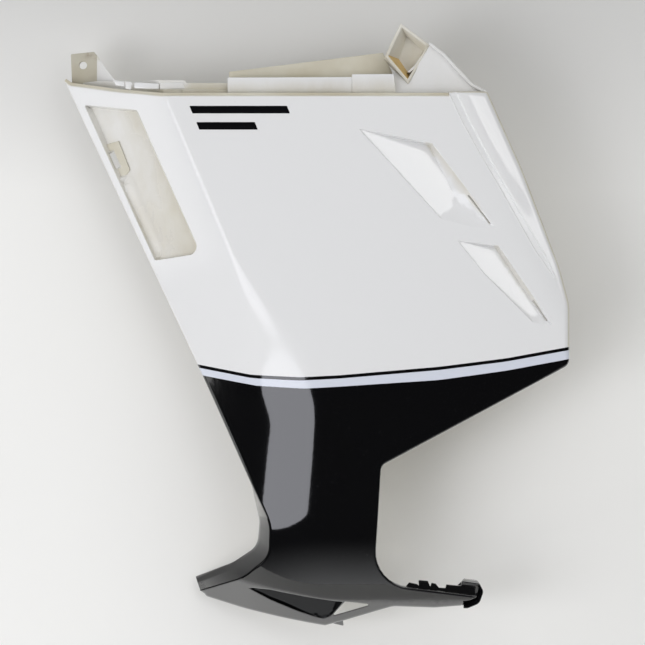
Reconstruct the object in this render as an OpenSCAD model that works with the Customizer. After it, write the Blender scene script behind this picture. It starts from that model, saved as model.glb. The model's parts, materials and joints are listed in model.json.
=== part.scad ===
// Left-hand front side panel of a scooter, upright as it is fitted.
// Origin: centre of the screw hole in the upper tab, +Y towards the inside of the vehicle.

/* [Moulding] */
// Wall thickness of the moulded shell
wall = 3; // [2.4:0.1:4]
// Depth of the return rim behind the outer face
rim_depth = 12; // [8:0.5:18]
// Thickness of the return rim
rim_wall = 2.4; // [1.8:0.1:3.2]
// Step from the outer edge in to the rim
rim_inset = 0.5; // [0.3:0.1:1]

/* [Face form] */
// Depth of the flat main face in front of the tab
face_depth = 62; // [55:1:70]
// Slope of the front facet that turns away at the left
facet_slope = 0.7; // [0.5:0.02:0.8]
// Left-right place of the facet crease at the top edge
crease_top_x = 72.7; // [68:0.5:78]
// Lean of the facet crease
crease_lean = 0.42; // [0.38:0.01:0.46]
// Height drop at which the crease turns upright
crease_turn = 264; // [250:1:280]
// Rounding half-width of the crease at the top
crease_sharp = 1.2; // [0.8:0.1:6]
// Rounding half-width of the crease at the neck
crease_round = 37; // [28:1:44]
// Slope of the rear shoulder roll
roll_slope = 0.45; // [0.3:0.01:0.55]
// Left-right place of the shoulder roll at the top edge
roll_top_x = 311; // [305:1:318]
// Slope of the foot where it tucks under
foot_slope = 0.5; // [0.35:0.01:0.6]
// Drop from the tab's hole to the hem crease of the foot
hem_drop = 439; // [420:1:455]
// Height of the band that tucks under above the hem
foot_band = 41; // [36:1:46]
// Extra slope of the underside facet below the hem crease
hem_slope = 0.9; // [0.6:0.05:1.1]

/* [Upper tab] */
// Screw hole diameter
hole_d = 6.5; // [5:0.1:7.5]
// Tab thickness
tab_t = 3; // [2.4:0.1:4]

/* [Window pocket] */
// Depth of the pocket behind the facet
pocket_depth = 8; // [6:0.5:10]
// Sideways draft of the pocket over its depth
pocket_draft = 3.6; // [2:0.2:5]
// Thickness of the pocket floor
pocket_floor = 2.2; // [1.6:0.1:3]
// Height of the clip frame on the pocket floor
frame_h = 1.6; // [1:0.1:2.4]

/* [Vents] */
// Tilt of the vent ramps in degrees
ramp_tilt = 17; // [12:0.5:20]
// Step at the shallow edge of a ramp
ramp_step = 0.8; // [0.4:0.1:1.4]
// Thickness of the vent ramps
ramp_wall = 2.2; // [1.8:0.1:3]
// Depth of the long groove along the shoulder
groove_depth = 1.2; // [0.6:0.1:1.6]

/* [Top flange] */
// Set-back of the top flange behind the face
flange_back = 16; // [12:0.5:18]
// Rise of the raised box in front of the flange
box_rise = 7; // [4:0.5:10]
// Set-back of the rear ledge behind the face
ledge_back = 24; // [22:0.5:28]
// Depth of the socket in front of the flange
socket_rise = 8; // [5:0.5:12]
// Depth of the socket behind the flange
socket_back = 13; // [9:0.5:16]

/* [Foot] */
// Depth of the arch flange
arch_depth = 16; // [12:0.5:20]
// Tilt of the leaf-shaped recess floor in degrees
leaf_tilt = 19; // [14:1:24]
// Set-back of the toothed flange
teeth_back = 9; // [7:0.5:11]
// Depth of the curled end
curl_depth = 20; // [16:1:24]

/* [Finish] */
// Thickness of the coloured films
coat = 0.3; // [0.2:0.05:0.5]
// Width of the fine black line
pin_w = 2.6; // [2:0.1:3.4]
// Length of the upper accent bar
bar_len = 78; // [60:1:90]
// Width of the accent bars
bar_w = 6; // [4:0.5:9]

/* [Hidden] */
white = [0.93, 0.93, 0.91];
black = [0.06, 0.06, 0.07];
face_y = -face_depth;
top_z = -32;
// reach of the cutting prisms in front of and behind the part
reach = 120;
crease_back = 0.45;
crease_blend = 32;
round_from = 150;
round_over = 130;
roll_lean = 0.5;
roll_round = 18;
foot_round = 30;
foot_turn = hem_drop - foot_band;
hem_rise = 0.19;
hem_from_x = 205;
hem_round = 15;
hem_sharp = 2;
arc_n = 5;

// a straight run that turns onto a slope over the half-width r
function bend(d, s, r) = d <= -r ? 0 : d >= r ? s*d : s*(d + r)*(d + r)/(4*r);
function ease(t) = let (u = min(1, max(0, t))) u*u*(3 - 2*u);
function crease_x(z) = crease_top_x + crease_lean*(top_z - z)
  - bend(-z - crease_turn, crease_back, crease_blend);
function crease_r(z) = crease_sharp
  + (crease_round - crease_sharp)*ease((-z - round_from)/round_over);
function roll_x(z) = roll_top_x + roll_lean*(top_z - z);
function hem_z(x) = hem_drop - bend(hem_from_x - x, hem_rise, hem_round);
// depth of the outer face at a point of the front view
function f(x, z) = face_y + bend(crease_x(z) - x, facet_slope, crease_r(z))
  + bend(x - roll_x(z), roll_slope, roll_round) + bend(-z - foot_turn, foot_slope, foot_round)
  + bend(-z - hem_z(x), hem_slope, hem_sharp);

// grid lines across (beside the crease) and down the face
us = concat([for (k = [0:3]) -150 + 27*k],
  [for (k = [-5:5]) sign(k)*pow(abs(k)/5, 1.6)*42],
  [for (k = [0:3]) 70 + 45*k], [for (k = [0:6]) 218 + 9*k], [290, 330, 400]);
vs = concat([for (k = [0:5]) -45 + 40*k], [for (k = [0:5]) 180 + 16*k],
  [for (k = [0:4]) 274 + (hem_drop - 367)*k/4],
  [for (d = [-73:8:-17]) hem_drop + d], [for (d = [-9, -3, 0, 3, 13, 41]) hem_drop + d]);
function grid_z(u, v) = -(v - ease((v - hem_drop + 39)/30)*(hem_drop - hem_z(crease_x(-v) + u)));
function grid_pt(u, v, d) = let (x = crease_x(-v) + u, z = grid_z(u, v)) [x, f(x, z) + d, z];

// layer of the face between the depths a and b behind the outer surface
module slab(a, b, u0 = -200, u1 = 500, v0 = -50, v1 = 2*hem_drop) {
  ul = [for (u = us) if (u >= u0 && u <= u1) u];
  vl = [for (v = vs) if (v >= v0 && v <= v1) v];
  w = len(ul);
  h = len(vl);
  n = w*h;
  pts = [for (d = [a, b]) for (v = vl) for (u = ul) grid_pt(u, v, d)];
  polyhedron(points = pts, faces = concat(
    [for (j = [0:h - 2]) for (i = [0:w - 2]) let (p = j*w + i) each [[p, p + 1, p + w + 1],
      [p, p + w + 1, p + w], [n + p, n + p + w + 1, n + p + 1], [n + p, n + p + w, n + p + w + 1]]],
    [for (i = [0:w - 2]) let (p = i, q = (h - 1)*w + i) each [[p, n + p, n + p + 1],
      [p, n + p + 1, p + 1], [q, q + 1, n + q + 1], [q, n + q + 1, n + q]]],
    [for (j = [0:h - 2]) let (p = j*w, q = j*w + w - 1) each [[p, p + w, n + p + w],
      [p, n + p + w, n + p], [q, n + q, n + q + w], [q, n + q + w, q + w]]]));
}

module foot_slab(a, b, u0, u1) slab(a, b, u0, u1, hem_drop - 60);

// flat shape of the front view carried straight back from y0 to y1
module prism(y0 = -reach, y1 = reach)
  translate([0, y1, 0]) rotate([90, 0, 0]) linear_extrude(y1 - y0) children();

// path with each corner [x, z, radius] rounded
function unit(v) = v/norm(v);
function corner(a, p, c) = let (r = len(p) > 2 ? p[2] : 0, o = [p[0], p[1]],
    d1 = unit([a[0], a[1]] - o), d2 = unit([c[0], c[1]] - o),
    half = acos(max(-1, min(1, d1*d2)))/2, t = r/tan(half), m = unit(d1 + d2),
    o2 = o + m*r/sin(half), s = o + d1*t - o2, e = o + d2*t - o2)
  r == 0 ? [o] : [for (k = [0:arc_n]) let (g = (180 - 2*half)*k/arc_n)
    o2 + s*sin(180 - 2*half - g)/sin(2*half) + e*sin(g)/sin(2*half)];
function rounded(v) = let (n = len(v)) [for (i = [0:n - 1]) each corner(v[(i + n - 1) % n], v[i],
  v[(i + 1) % n])];
function rounded_open(v) = let (n = len(v)) concat([[v[0][0], v[0][1]]],
  [for (i = [1:n - 2]) each corner(v[i - 1], v[i], v[i + 1])], [[v[n - 1][0], v[n - 1][1]]]);

// points of the foot, given by their height from its hem
function foot(v) = [for (p = v) [p[0], p[1] - hem_drop, len(p) > 2 ? p[2] : 0]];
function xz(v) = [for (p = v) [p[0], p[1]]];

// outline of the outer face, corners with their radii
arch_line = foot([[95.1, -2.6], [134.5, 16.5, 48], [155.9, 36, 18], [156.8, 62.4, 30],
  [140, 97.4]]);
arch_edge = foot([[91.6, 8.5], [125.8, 26.4, 48], [146.4, 41.8, 18], [148.1, 63.4, 26],
  [141.3, 92.4]]);
outline = concat(rounded(concat([[-14.4, -13.3, 1.2], [-8.7, -17.1, 4], [30.5, -25.2, 120],
    [71, -31.9, 8], [299.9, -31.9], [300.9, -29.3], [332.5, -27.9, 3.2], [360.1, -90.4, 200],
    [390.1, -169.8, 80], [397.9, -200.3, 40], [397.3, -248.1, 8], [246.5, -328.9, 7.2]],
  foot([[240.7, 14.1, 30.4], [325.9, 2.9, 0.8], [312.9, -6.5, 4.8], [291, -8.6, 30],
    [257, -7.1, 16], [218.1, -21.8, 20], [201.6, -27.6, 3.2], [130.1, -14.9, 60],
    [100, -8.2, 4]]))), rounded_open(arch_line));
module outline2d() polygon(outline);

window = rounded([[2.4, -34.4, 1.2], [49, -42.1, 2.4], [100.9, -158.3, 7.2], [61.2, -163.3, 2.4]]);
vent_upper = rounded([[227.9, -58.9, 0.8], [287.9, -71.5, 2], [338.7, -138.3, 1], [319.7, -137.7, 4.8],
  [294.3, -131.5, 6.4]]);
vent_lower = rounded([[307.1, -148.6, 0.8], [338.3, -153.4, 1.6], [383.1, -217.1, 1], [367.1, -214.3, 5],
  [328.9, -176, 20]]);
leaf = rounded(foot([[136.6, 7.1, 0.6], [156.7, 7.1, 20], [205.6, -0.9, 30], [216.2, -2.3, 0.6],
  [206.5, -17.1, 6], [199.9, -21.1, 3], [180.9, -14, 20], [156.3, -3.4, 20]]));
gap = rounded(foot([[217.8, -2.1, 0.6], [239.8, -5.1, 1], [206.9, -17.4, 1]]));

module rim2d() difference() {
  offset(delta = -rim_inset) outline2d();
  offset(delta = -rim_inset - rim_wall) outline2d();
}
module above(z) translate([-100, z]) square([600, 200]);

// white part of the shell with all its openings
module skin() difference() {
  intersection() {
    slab(0, wall);
    prism() difference() {
      outline2d();
      polygon(window);
      polygon(vent_upper);
      polygon(vent_lower);
      polygon(leaf);
      polygon(gap);
    }
  }
  intersection() {
    slab(-wall, groove_depth, 190, 400, -50, 260);
    prism() polygon(rounded([[298.6, -24], [306.4, -24], [352.9, -112.7, 200], [379.7, -163.2, 60],
      [387.8, -182.6, 0.5], [368.8, -155.3, 60], [354.2, -128.7, 200]]));
  }
}

module rim() intersection() {
  slab(wall/2, rim_depth);
  prism() difference() {
    rim2d();
    polygon(gap);
    // the arch has its own slanting flange
    polygon(xz(foot([[80, 114], [150, 114], [172, 67], [172, 31], [140, 7], [112, 2],
      [112, -21], [80, -21]])));
  }
}

// wall that carries the top edge back to the flange
module top_wall() intersection() {
  slab(wall/2, flange_back + wall, -150, 400, -50, 50);
  prism() intersection() { rim2d(); above(-36); }
}

flange_y = face_y + flange_back;
module top_flange() {
  intersection() {
    slab(flange_back, flange_back + wall, -150, 120, -50, 50);
    prism() polygon([[-8.5, -21.3], [-8.3, -14.9], [12.8, -14.3], [37.7, -16.6], [44.7, -18],
      [46, -20.5], [50, -18], [88, -18.3], [90, -20.6], [123.1, -20.6], [123.1, -28.7], [70, -30],
      [30, -24.5]]);
  }
  // lower rail below the recessed run of the flange
  prism(flange_y - 2, flange_y + wall) polygon([[86, -25.5], [124, -26.3], [124, -30.5], [86, -30.5]]);
  // raised box in two steps, open behind
  prism(flange_y - box_rise, flange_y + wall) difference() {
    polygon(box_outline);
    offset(delta = -rim_wall) polygon(box_outline);
  }
  prism(flange_y - box_rise, flange_y - box_rise + rim_wall) polygon(box_outline);
  // sloping ledge behind the box
  prism(face_y + ledge_back, face_y + ledge_back + rim_wall)
    polygon([[123.5, -10.4], [248.7, 5.1], [256, -10.7], [257.6, -20], [123.5, -20]]);
  prism(flange_y, face_y + ledge_back + rim_wall)
    polygon([[123.5, -17], [257.6, -17], [257.6, -20], [123.5, -20]]);
  prism(flange_y, flange_y + wall) polygon([[123, -16], [257, -16], [257, -31], [123, -31]]);
}
box_outline = [[123, -17.1], [223.2, -16.6], [223.2, -14.5], [257, -14.2], [258.3, -30.5], [123, -30.5]];

// web at the rear of the top flange with its beaded edge
web = [[256.5, -31.2], [256.5, -17.4], [250, 1.2], [262.7, 28.3], [287.6, 11.1], [298.4, 2.6],
  [320.3, -21.1], [332.7, -27], [331, -31.2]];
web_edge = [[262.7, 28.3], [287.6, 11.1, 10], [298.4, 2.6, 10], [320.3, -21.1, 14], [331.5, -27.4]];
bead_w = 2.4;
bead_rise = 3;
module web_plate() {
  prism(flange_y, flange_y + wall) polygon(web);
  prism(flange_y - bead_rise, flange_y + wall) intersection() {
    polygon(web);
    difference() {
      translate([bead_w, bead_w]) polygon(concat(rounded_open(web_edge), [[250, -60]]));
      translate([-bead_w, -bead_w]) polygon(concat(rounded_open(web_edge), [[250, -60]]));
    }
  }
}

// open socket standing askew at the top of the web
socket = [[262.4, 27.1, 2], [287.2, 9.9, 2], [268.7, -21.7, 2], [249.7, 0, 2]];
module socket_walls() prism(flange_y - socket_rise, flange_y + socket_back) polygon(rounded(socket));
module socket_hollow() prism(-reach, flange_y + socket_back - rim_wall)
  offset(delta = -rim_wall) polygon(rounded(socket));

// upper tab with the slanting web that braces it against the flange
tab = [[-10.3, 9.3, 1], [9.1, 11.2, 0.6], [11.9, 8, 1], [14, 5], [14, -22], [-8.9, -22]];
brace = [[9.1, 11.2], [11.9, 8, 1], [18.6, -2.1, 30], [30.2, -17, 8], [41, -20]];
brace_at = 11.5;
brace_turn = 44.5;
module tab_plate() {
  prism(0, tab_t) polygon(rounded(tab));
  intersection() {
    prism(-reach, tab_t) polygon(concat(rounded_open(brace), [[41, -23], [9.1, -23]]));
    translate([brace_at, 0, 0]) rotate([0, 0, -brace_turn]) translate([-wall, 0, -reach])
      cube([reach, rim_wall, 2*reach]);
  }
}

// slanting pocket behind the window
module pocket() difference() {
  intersection() {
    slab(wall/2, pocket_depth + pocket_floor, -150, 10, -50, 250);
    prism() offset(delta = rim_wall) hull() {
      polygon(window);
      translate([pocket_draft, 0]) polygon(window);
    }
  }
  pocket_hollow();
}
module pocket_hollow() {
  n = len(window);
  lead = 1;
  step = [pocket_draft, pocket_depth + lead - facet_slope*pocket_draft, 0];
  front = [for (p = window) [p[0], f(p[0], p[1]) - lead, p[1]]];
  polyhedron(points = concat(front, [for (p = front) p + step]), faces = concat(
    [[for (i = [0:n - 1]) i], [for (i = [0:n - 1]) 2*n - 1 - i]],
    [for (i = [0:n - 1]) let (j = (i + 1) % n) [i, n + i, n + j, j]]));
}
clip_frame = [[19.2, -67.1], [31.4, -64.7], [40.8, -88.6], [37.5, -92.4], [31.7, -92.9], [28.7, -88.7],
  [33.3, -85.7], [26.9, -71.6], [21.2, -72.9]];
module clip_rim() intersection() {
  slab(pocket_depth - frame_h, pocket_depth + pocket_floor, -150, 10, -50, 140);
  prism() polygon(clip_frame);
}
module clip_slot() prism() polygon([[22.4, -74.1], [26.5, -72.3], [32.3, -84.8], [28.2, -87]]);

// vent scoop: walls and a ramp that sinks towards its slot
module in_front(x, z, lie, sink) translate([x, face_y + sink, z]) rotate([0, lie, 0])
  rotate([-ramp_tilt, 0, 0]) translate([-reach, -reach, -reach]) cube([3*reach, reach, 2*reach]);
module scoop(shape, x, z, lie) difference() {
  intersection() {
    prism(face_y + wall/2, face_y + 2*reach/5) offset(delta = ramp_wall) polygon(shape);
    in_front(x, z, lie, ramp_step + ramp_wall);
  }
  intersection() {
    prism(face_y - wall, face_y + reach/2) polygon(shape);
    in_front(x, z, lie, ramp_step);
  }
}
module slots() prism(face_y + ramp_step + ramp_wall, face_y + reach/2) {
  polygon([[285.2, -72], [288.6, -73.3], [336.5, -136.5], [334.5, -136.8]]);
  polygon([[336.6, -155], [338.6, -155.3], [373.2, -204.2], [371.6, -204.6]]);
}

// leaf-shaped recess in the underside of the foot
leaf_at = [200, -12, -hem_drop - 21];
leaf_turn = 2.5;
module leaf_front(d) translate(leaf_at + [0, d, 0]) rotate([leaf_tilt, 0, -leaf_turn])
  translate([-reach, -reach, -reach]) cube([2*reach, reach, 2*reach]);
module leaf_recess() difference() {
  intersection() {
    foot_slab(wall/2, reach/2, -80, 110);
    prism() difference() {
      offset(delta = rim_wall) polygon(leaf);
      polygon(gap);
    }
    leaf_front(rim_wall);
  }
  intersection() {
    prism() polygon(leaf);
    leaf_front(0);
  }
}

// strip from the path a to the path b, thickened straight back
module strip(a, b, t) {
  n = len(a);
  pts = concat(a, b, [for (p = a) p + [0, t, 0]], [for (p = b) p + [0, t, 0]]);
  polyhedron(points = pts, faces = concat(
    [for (i = [0:n - 2]) each [[i, i + 1, n + i + 1], [i, n + i + 1, n + i],
      [2*n + i, 3*n + i + 1, 2*n + i + 1], [2*n + i, 3*n + i, 3*n + i + 1],
      [i, 2*n + i + 1, i + 1], [i, 2*n + i, 2*n + i + 1],
      [n + i, n + i + 1, 3*n + i + 1], [n + i, 3*n + i + 1, 3*n + i]]],
    [[0, n, 3*n], [0, 3*n, 2*n], [n - 1, 3*n - 1, 4*n - 1], [n - 1, 4*n - 1, 2*n - 1]]));
}
arch_in = [for (p = rounded_open(arch_line)) let (x = p[0] + 0.9, z = p[1] - 0.9) [x, f(x, z) + 0.8, z]];
arch_out = [for (p = rounded_open(arch_edge)) [p[0], f(p[0], p[1]) + arch_depth, p[1]]];
module arch_flange() strip(arch_out, arch_in, wall);

// toothed flange and curled end at the rear of the foot
teeth = xz(foot([[262, 3], [269.8, 13.5], [276.3, 12.1], [278, 10.3], [277.4, 15.5],
  [285.1, 14.8], [287.3, 9.4], [288, 13.2], [291.6, 12.4], [294.3, 8.9], [299.7, 8.6],
  [300, 11.7], [312, 10.5], [312.9, 14.8], [326.4, 12.8], [326.6, -2], [295.3, -2]]));
curl = rounded(foot([[316, 14, 0.5], [327.2, 12.6, 3], [330.6, 6, 5], [327.2, -3.8, 7],
  [317.5, -7.8, 5], [309, -7.4, 0.5], [309, 7, 0.5]]));
module foot_end() {
  intersection() {
    foot_slab(teeth_back, teeth_back + rim_wall, 60, 290);
    prism() polygon(teeth);
  }
  prism(curl_y, curl_y + curl_depth) curl_wall();
  prism(curl_floor, curl_y + curl_depth) polygon(curl);
}
curl_y = face_y + 24;
curl_floor = curl_y + curl_depth - rim_wall;
module curl_wall() intersection() {
  difference() {
    polygon(curl);
    offset(delta = -rim_wall) polygon(curl);
  }
  translate([313, -500]) square([60, 100]);
}

small_tab_shape = xz(foot([[207.4, -17], [216, -17], [217.1, -27.9], [208.2, -25.4]]));
small_tab_back = 1;
module small_tab() intersection() {
  foot_slab(small_tab_back, small_tab_back + wall, 30, 110);
  prism() polygon(small_tab_shape);
}

module panel() color(white) difference() {
  union() {
    skin();
    rim();
    top_wall();
    top_flange();
    web_plate();
    socket_walls();
    tab_plate();
    pocket();
    clip_rim();
    scoop(vent_upper, 227.9, -58.9, 46.9);
    scoop(vent_lower, 307.1, -148.6, 51.5);
    leaf_recess();
    arch_flange();
    foot_end();
    small_tab();
  }
  socket_hollow();
  clip_slot();
  slots();
  rotate([90, 0, 0]) cylinder(d = hole_d, h = reach, center = true, $fn = 64);
}

// boundary lines of the colour fields, from the front edge to the rear edge
pin_line = [[80, -246], [141.7, -256.6, 60], [181.5, -258.2, 60], [213.5, -256.5, 60],
  [293.1, -249.7, 200], [346.1, -243, 200], [405.6, -232.2]];
black_line = [[80, -254.5], [145.9, -265.4, 40], [184.9, -267.3, 60], [213.5, -265.6, 60],
  [293.1, -260.3, 200], [346.1, -252.9, 200], [405.6, -241.9]];
module below(line) polygon(concat(rounded_open(line), [[line[len(line) - 1][0], -hem_drop - reach/2],
  [line[0][0], -hem_drop - reach/2]]));

module lower_black_coat() color(black) {
  intersection() {
    slab(-coat, 0);
    prism() difference() {
      intersection() { outline2d(); below(black_line); }
      polygon(leaf);
      polygon(gap);
    }
  }
  difference() {
    intersection() { prism() polygon(leaf); leaf_front(0); }
    leaf_front(-coat);
  }
  difference() {
    union() {
      strip(raised(arch_out), raised(arch_in), coat);
      intersection() {
        foot_slab(teeth_back - coat, teeth_back, 60, 290);
        prism() polygon(teeth);
      }
    }
    prism() outline2d();
    prism() polygon(curl);
  }
  difference() {
    union() {
      prism(curl_y - coat, curl_y) curl_wall();
      prism(curl_floor - coat, curl_floor) offset(delta = -rim_wall) polygon(curl);
    }
    prism() outline2d();
    prism() polygon(teeth);
  }
}
function raised(path) = [for (p = path) p - [0, coat, 0]];

module pinstripe() color(black) intersection() {
  slab(-coat, 0, -150, 400, 220, 320);
  prism() intersection() {
    outline2d();
    difference() {
      below(pin_line);
      translate([0, -pin_w]) below(pin_line);
    }
  }
}

// plain bars on the upper face
bar_at = [93, -41];
bar_lean = 0.42;
bar_pitch = 13;
module bar(len) polygon([[0, 0], [len, 0], [len + bar_lean*bar_w, -bar_w], [bar_lean*bar_w, -bar_w]]);
module accent_bars() color(black) prism(face_y - coat, face_y) {
  translate(bar_at) bar(bar_len);
  translate(bar_at + [bar_lean*bar_pitch, -bar_pitch]) bar(bar_len*0.6);
}

panel();
lower_black_coat();
pinstripe();
accent_bars();
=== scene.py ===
import json
import math

import bpy
import numpy as np
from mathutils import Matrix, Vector
from mathutils.geometry import delaunay_2d_cdt

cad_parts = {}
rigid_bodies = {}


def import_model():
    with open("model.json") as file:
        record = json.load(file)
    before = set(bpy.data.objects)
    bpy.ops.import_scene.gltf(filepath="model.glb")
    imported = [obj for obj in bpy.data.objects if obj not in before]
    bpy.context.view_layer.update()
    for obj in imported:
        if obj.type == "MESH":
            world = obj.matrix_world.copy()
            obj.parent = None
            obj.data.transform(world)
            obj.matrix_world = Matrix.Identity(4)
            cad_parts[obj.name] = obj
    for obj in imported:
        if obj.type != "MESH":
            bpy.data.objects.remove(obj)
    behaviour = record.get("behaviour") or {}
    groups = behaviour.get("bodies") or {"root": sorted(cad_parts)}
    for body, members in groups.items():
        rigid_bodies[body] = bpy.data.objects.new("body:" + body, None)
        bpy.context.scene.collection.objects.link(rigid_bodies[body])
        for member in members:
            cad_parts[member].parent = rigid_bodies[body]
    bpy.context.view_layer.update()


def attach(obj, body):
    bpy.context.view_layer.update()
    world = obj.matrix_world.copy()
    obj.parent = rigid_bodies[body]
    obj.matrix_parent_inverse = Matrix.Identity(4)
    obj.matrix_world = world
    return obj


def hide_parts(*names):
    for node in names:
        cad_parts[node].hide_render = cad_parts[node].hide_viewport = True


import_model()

bl_info = {
    "name": "Scooter front panel",
    "version": (1, 0, 0),
    "blender": (4, 5, 0),
    "location": "View3D > Sidebar > Panel",
    "description": "Lacquered front side panel of a scooter on a plain studio sweep",
    "category": "Object",
}

# Lengths below are in millimetres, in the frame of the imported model
MM = 0.001
FACE_Y = -62.0
TOP_Z = -32.0
WALL = 3.0
RIM_DEPTH = 12.0
RIM_WALL = 2.4
RIM_INSET = 0.5
FLANGE_Y = FACE_Y + 16
LEDGE_Y = FACE_Y + 24
POCKET_DEPTH = 8.0
CURL_Y = FACE_Y + 24
CURL_DEPTH = 20.0
TEETH_BACK = 9.0
ARCH_DEPTH = 16.0
HOLE_R = 3.25
PIN_W = 2.6
FILM_BACK = 0.3
POCKET_WALL = 3.3
TOP_RIM_Z, TOP_RIM_DEPTH = -36.0, 19.0
SOCKET_RISE, SOCKET_SINK, SOCKET_LEAN = 8.0, 13.0, 0.3

# Where the face turns: place, lean or slope, and half-width of the turn
CREASE_AT, CREASE_LEAN, CREASE_SLOPE = 72.7, 0.42, 0.7
CREASE_UPRIGHT_Z, CREASE_UPRIGHT, CREASE_UPRIGHT_R = -264, 0.45, 32
CREASE_SHARP, CREASE_SOFT, CREASE_FADE_Z, CREASE_FADE = 1.2, 35.8, -150, 130
ROLL_AT, ROLL_LEAN, ROLL_SLOPE, ROLL_R = 311, 0.5, 0.45, 18
FOOT_Z, FOOT_SLOPE, FOOT_R = -398, 0.5, 30
HEM_Z, HEM_X, HEM_LEAN, HEM_LEAN_R, HEM_SLOPE, HEM_R = 439, 205, 0.19, 15, 0.9, 2

# Fine relief beside the groove
GROOVE_DEPTH, RIDGE_HEIGHT, RIDGE_HALF = 0.5, 0.45, 0.9
SWELL_HEIGHT, SWELL_WIDTH = 1.3, 44
HOLLOW_HEIGHT, HOLLOW_WIDTH = 2.2, 18

# Slopes in degrees
VENT_RAMP, LEAF_RAMP, LEAF_TILT = 17, 19, 2.5


# Outer face of the moulding
def bend(d, s, r):
    """A straight run that turns onto a slope over the half-width r."""
    return np.where(d <= -r, 0.0, np.where(d >= r, s * d, s * (d + r) ** 2 / (4 * r)))


def ease(t):
    t = np.clip(t, 0.0, 1.0)
    return t * t * (3 - 2 * t)


def crease_x(z):
    upright = bend(CREASE_UPRIGHT_Z - z, CREASE_UPRIGHT, CREASE_UPRIGHT_R)
    return CREASE_AT + CREASE_LEAN * (TOP_Z - z) - upright


def crease_r(z):
    return CREASE_SHARP + CREASE_SOFT * ease((CREASE_FADE_Z - z) / CREASE_FADE)


def roll_x(z):
    return ROLL_AT + ROLL_LEAN * (TOP_Z - z)


def hem_z(x):
    """How far below the origin the face turns in along its lower edge."""
    return HEM_Z - bend(HEM_X - x, HEM_LEAN, HEM_LEAN_R)


def face(x, z):
    """Depth of the outer face at a point of the front view."""
    x, z = np.asarray(x, float), np.asarray(z, float)
    return (FACE_Y + bend(crease_x(z) - x, CREASE_SLOPE, crease_r(z))
            + bend(x - roll_x(z), ROLL_SLOPE, ROLL_R)
            + bend(FOOT_Z - z, FOOT_SLOPE, FOOT_R)
            + bend(-z - hem_z(x), HEM_SLOPE, HEM_R))


# Plane paths: each corner is x, z and its radius
def unit(v):
    return v / np.linalg.norm(v)


def corner(a, p, c, n):
    o = np.array(p[:2], float)
    r = p[2] if len(p) > 2 else 0
    if r == 0:
        return [o]
    d1, d2 = unit(np.array(a[:2], float) - o), unit(np.array(c[:2], float) - o)
    half = math.acos(max(-1.0, min(1.0, float(d1 @ d2)))) / 2
    centre = o + unit(d1 + d2) * r / math.sin(half)
    sweep = math.pi - 2 * half
    s, e = o + d1 * r / math.tan(half) - centre, o + d2 * r / math.tan(half) - centre
    return [centre + (s * math.sin(sweep - g) + e * math.sin(g)) / math.sin(sweep)
            for g in np.linspace(0, sweep, n + 1)]


def rounded(v, n=8):
    k = len(v)
    return np.array([q for i in range(k) for q in corner(v[i - 1], v[i], v[(i + 1) % k], n)])


def rounded_open(v, n=8):
    pts = [np.array(v[0][:2], float)]
    for i in range(1, len(v) - 1):
        pts += corner(v[i - 1], v[i], v[i + 1], n)
    return np.array(pts + [np.array(v[-1][:2], float)])


def dense(path, step, closed=True):
    """The path with no stretch longer than step."""
    out, n = [], len(path)
    for i in range(n if closed else n - 1):
        a, b = path[i], path[(i + 1) % n]
        run = np.linalg.norm(b - a)
        if run < 1e-6:
            continue
        k = max(1, int(math.ceil(run / step)))
        out += [a + (b - a) * j / k for j in range(k)]
    if not closed:
        out.append(path[-1])
    return np.array(out)


def area(path):
    x, z = path[:, 0], path[:, 1]
    return 0.5 * float(np.sum(x * np.roll(z, -1) - np.roll(x, -1) * z))


def inward(path):
    """Unit normals towards the inside of a closed path, lengthened at its corners."""
    e = np.roll(path, -1, 0) - path
    e /= np.maximum(np.linalg.norm(e, axis=1, keepdims=True), 1e-9)
    n = np.stack([-e[:, 1], e[:, 0]], 1) * (1.0 if area(path) > 0 else -1.0)
    m = n + np.roll(n, 1, 0)
    m /= np.maximum(np.linalg.norm(m, axis=1, keepdims=True), 1e-9)
    return m / np.clip(np.sum(m * n, axis=1, keepdims=True), 0.5, 1)


def away(pts, path, closed=True):
    """Distance of each point from a path."""
    a, b = (path, np.roll(path, -1, 0)) if closed else (path[:-1], path[1:])
    d = b - a
    l2 = np.maximum(np.sum(d * d, axis=1), 1e-12)
    out = np.empty(len(pts))
    for i in range(0, len(pts), 2000):
        p = pts[i:i + 2000, None, :]
        t = np.clip(np.sum((p - a) * d, axis=2) / l2, 0, 1)
        out[i:i + 2000] = np.sqrt(np.min(np.sum((a + t[..., None] * d - p) ** 2, axis=2), axis=1))
    return out


def inside(pts, path):
    a, b = path, np.roll(path, -1, 0)
    dz = np.where(b[:, 1] == a[:, 1], 1e-12, b[:, 1] - a[:, 1])
    out = np.zeros(len(pts), bool)
    for i in range(0, len(pts), 2000):
        x, z = pts[i:i + 2000, 0:1], pts[i:i + 2000, 1:2]
        cut = (a[:, 1] > z) != (b[:, 1] > z)
        hit = x < (b[:, 0] - a[:, 0]) * (z - a[:, 1]) / dz + a[:, 0]
        out[i:i + 2000] = np.sum(cut & hit, axis=1) % 2 == 1
    return out


def depth_in(pts, path):
    """How far inside a closed path each point lies, negative outside."""
    near = np.full(len(pts), -50.0)
    lo, hi = path.min(axis=0) - 4, path.max(axis=0) + 4
    box = np.all((pts > lo) & (pts < hi), axis=1)
    if box.any():
        q = pts[box]
        near[box] = np.where(inside(q, path), 1, -1) * away(q, path)
    return near


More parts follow.
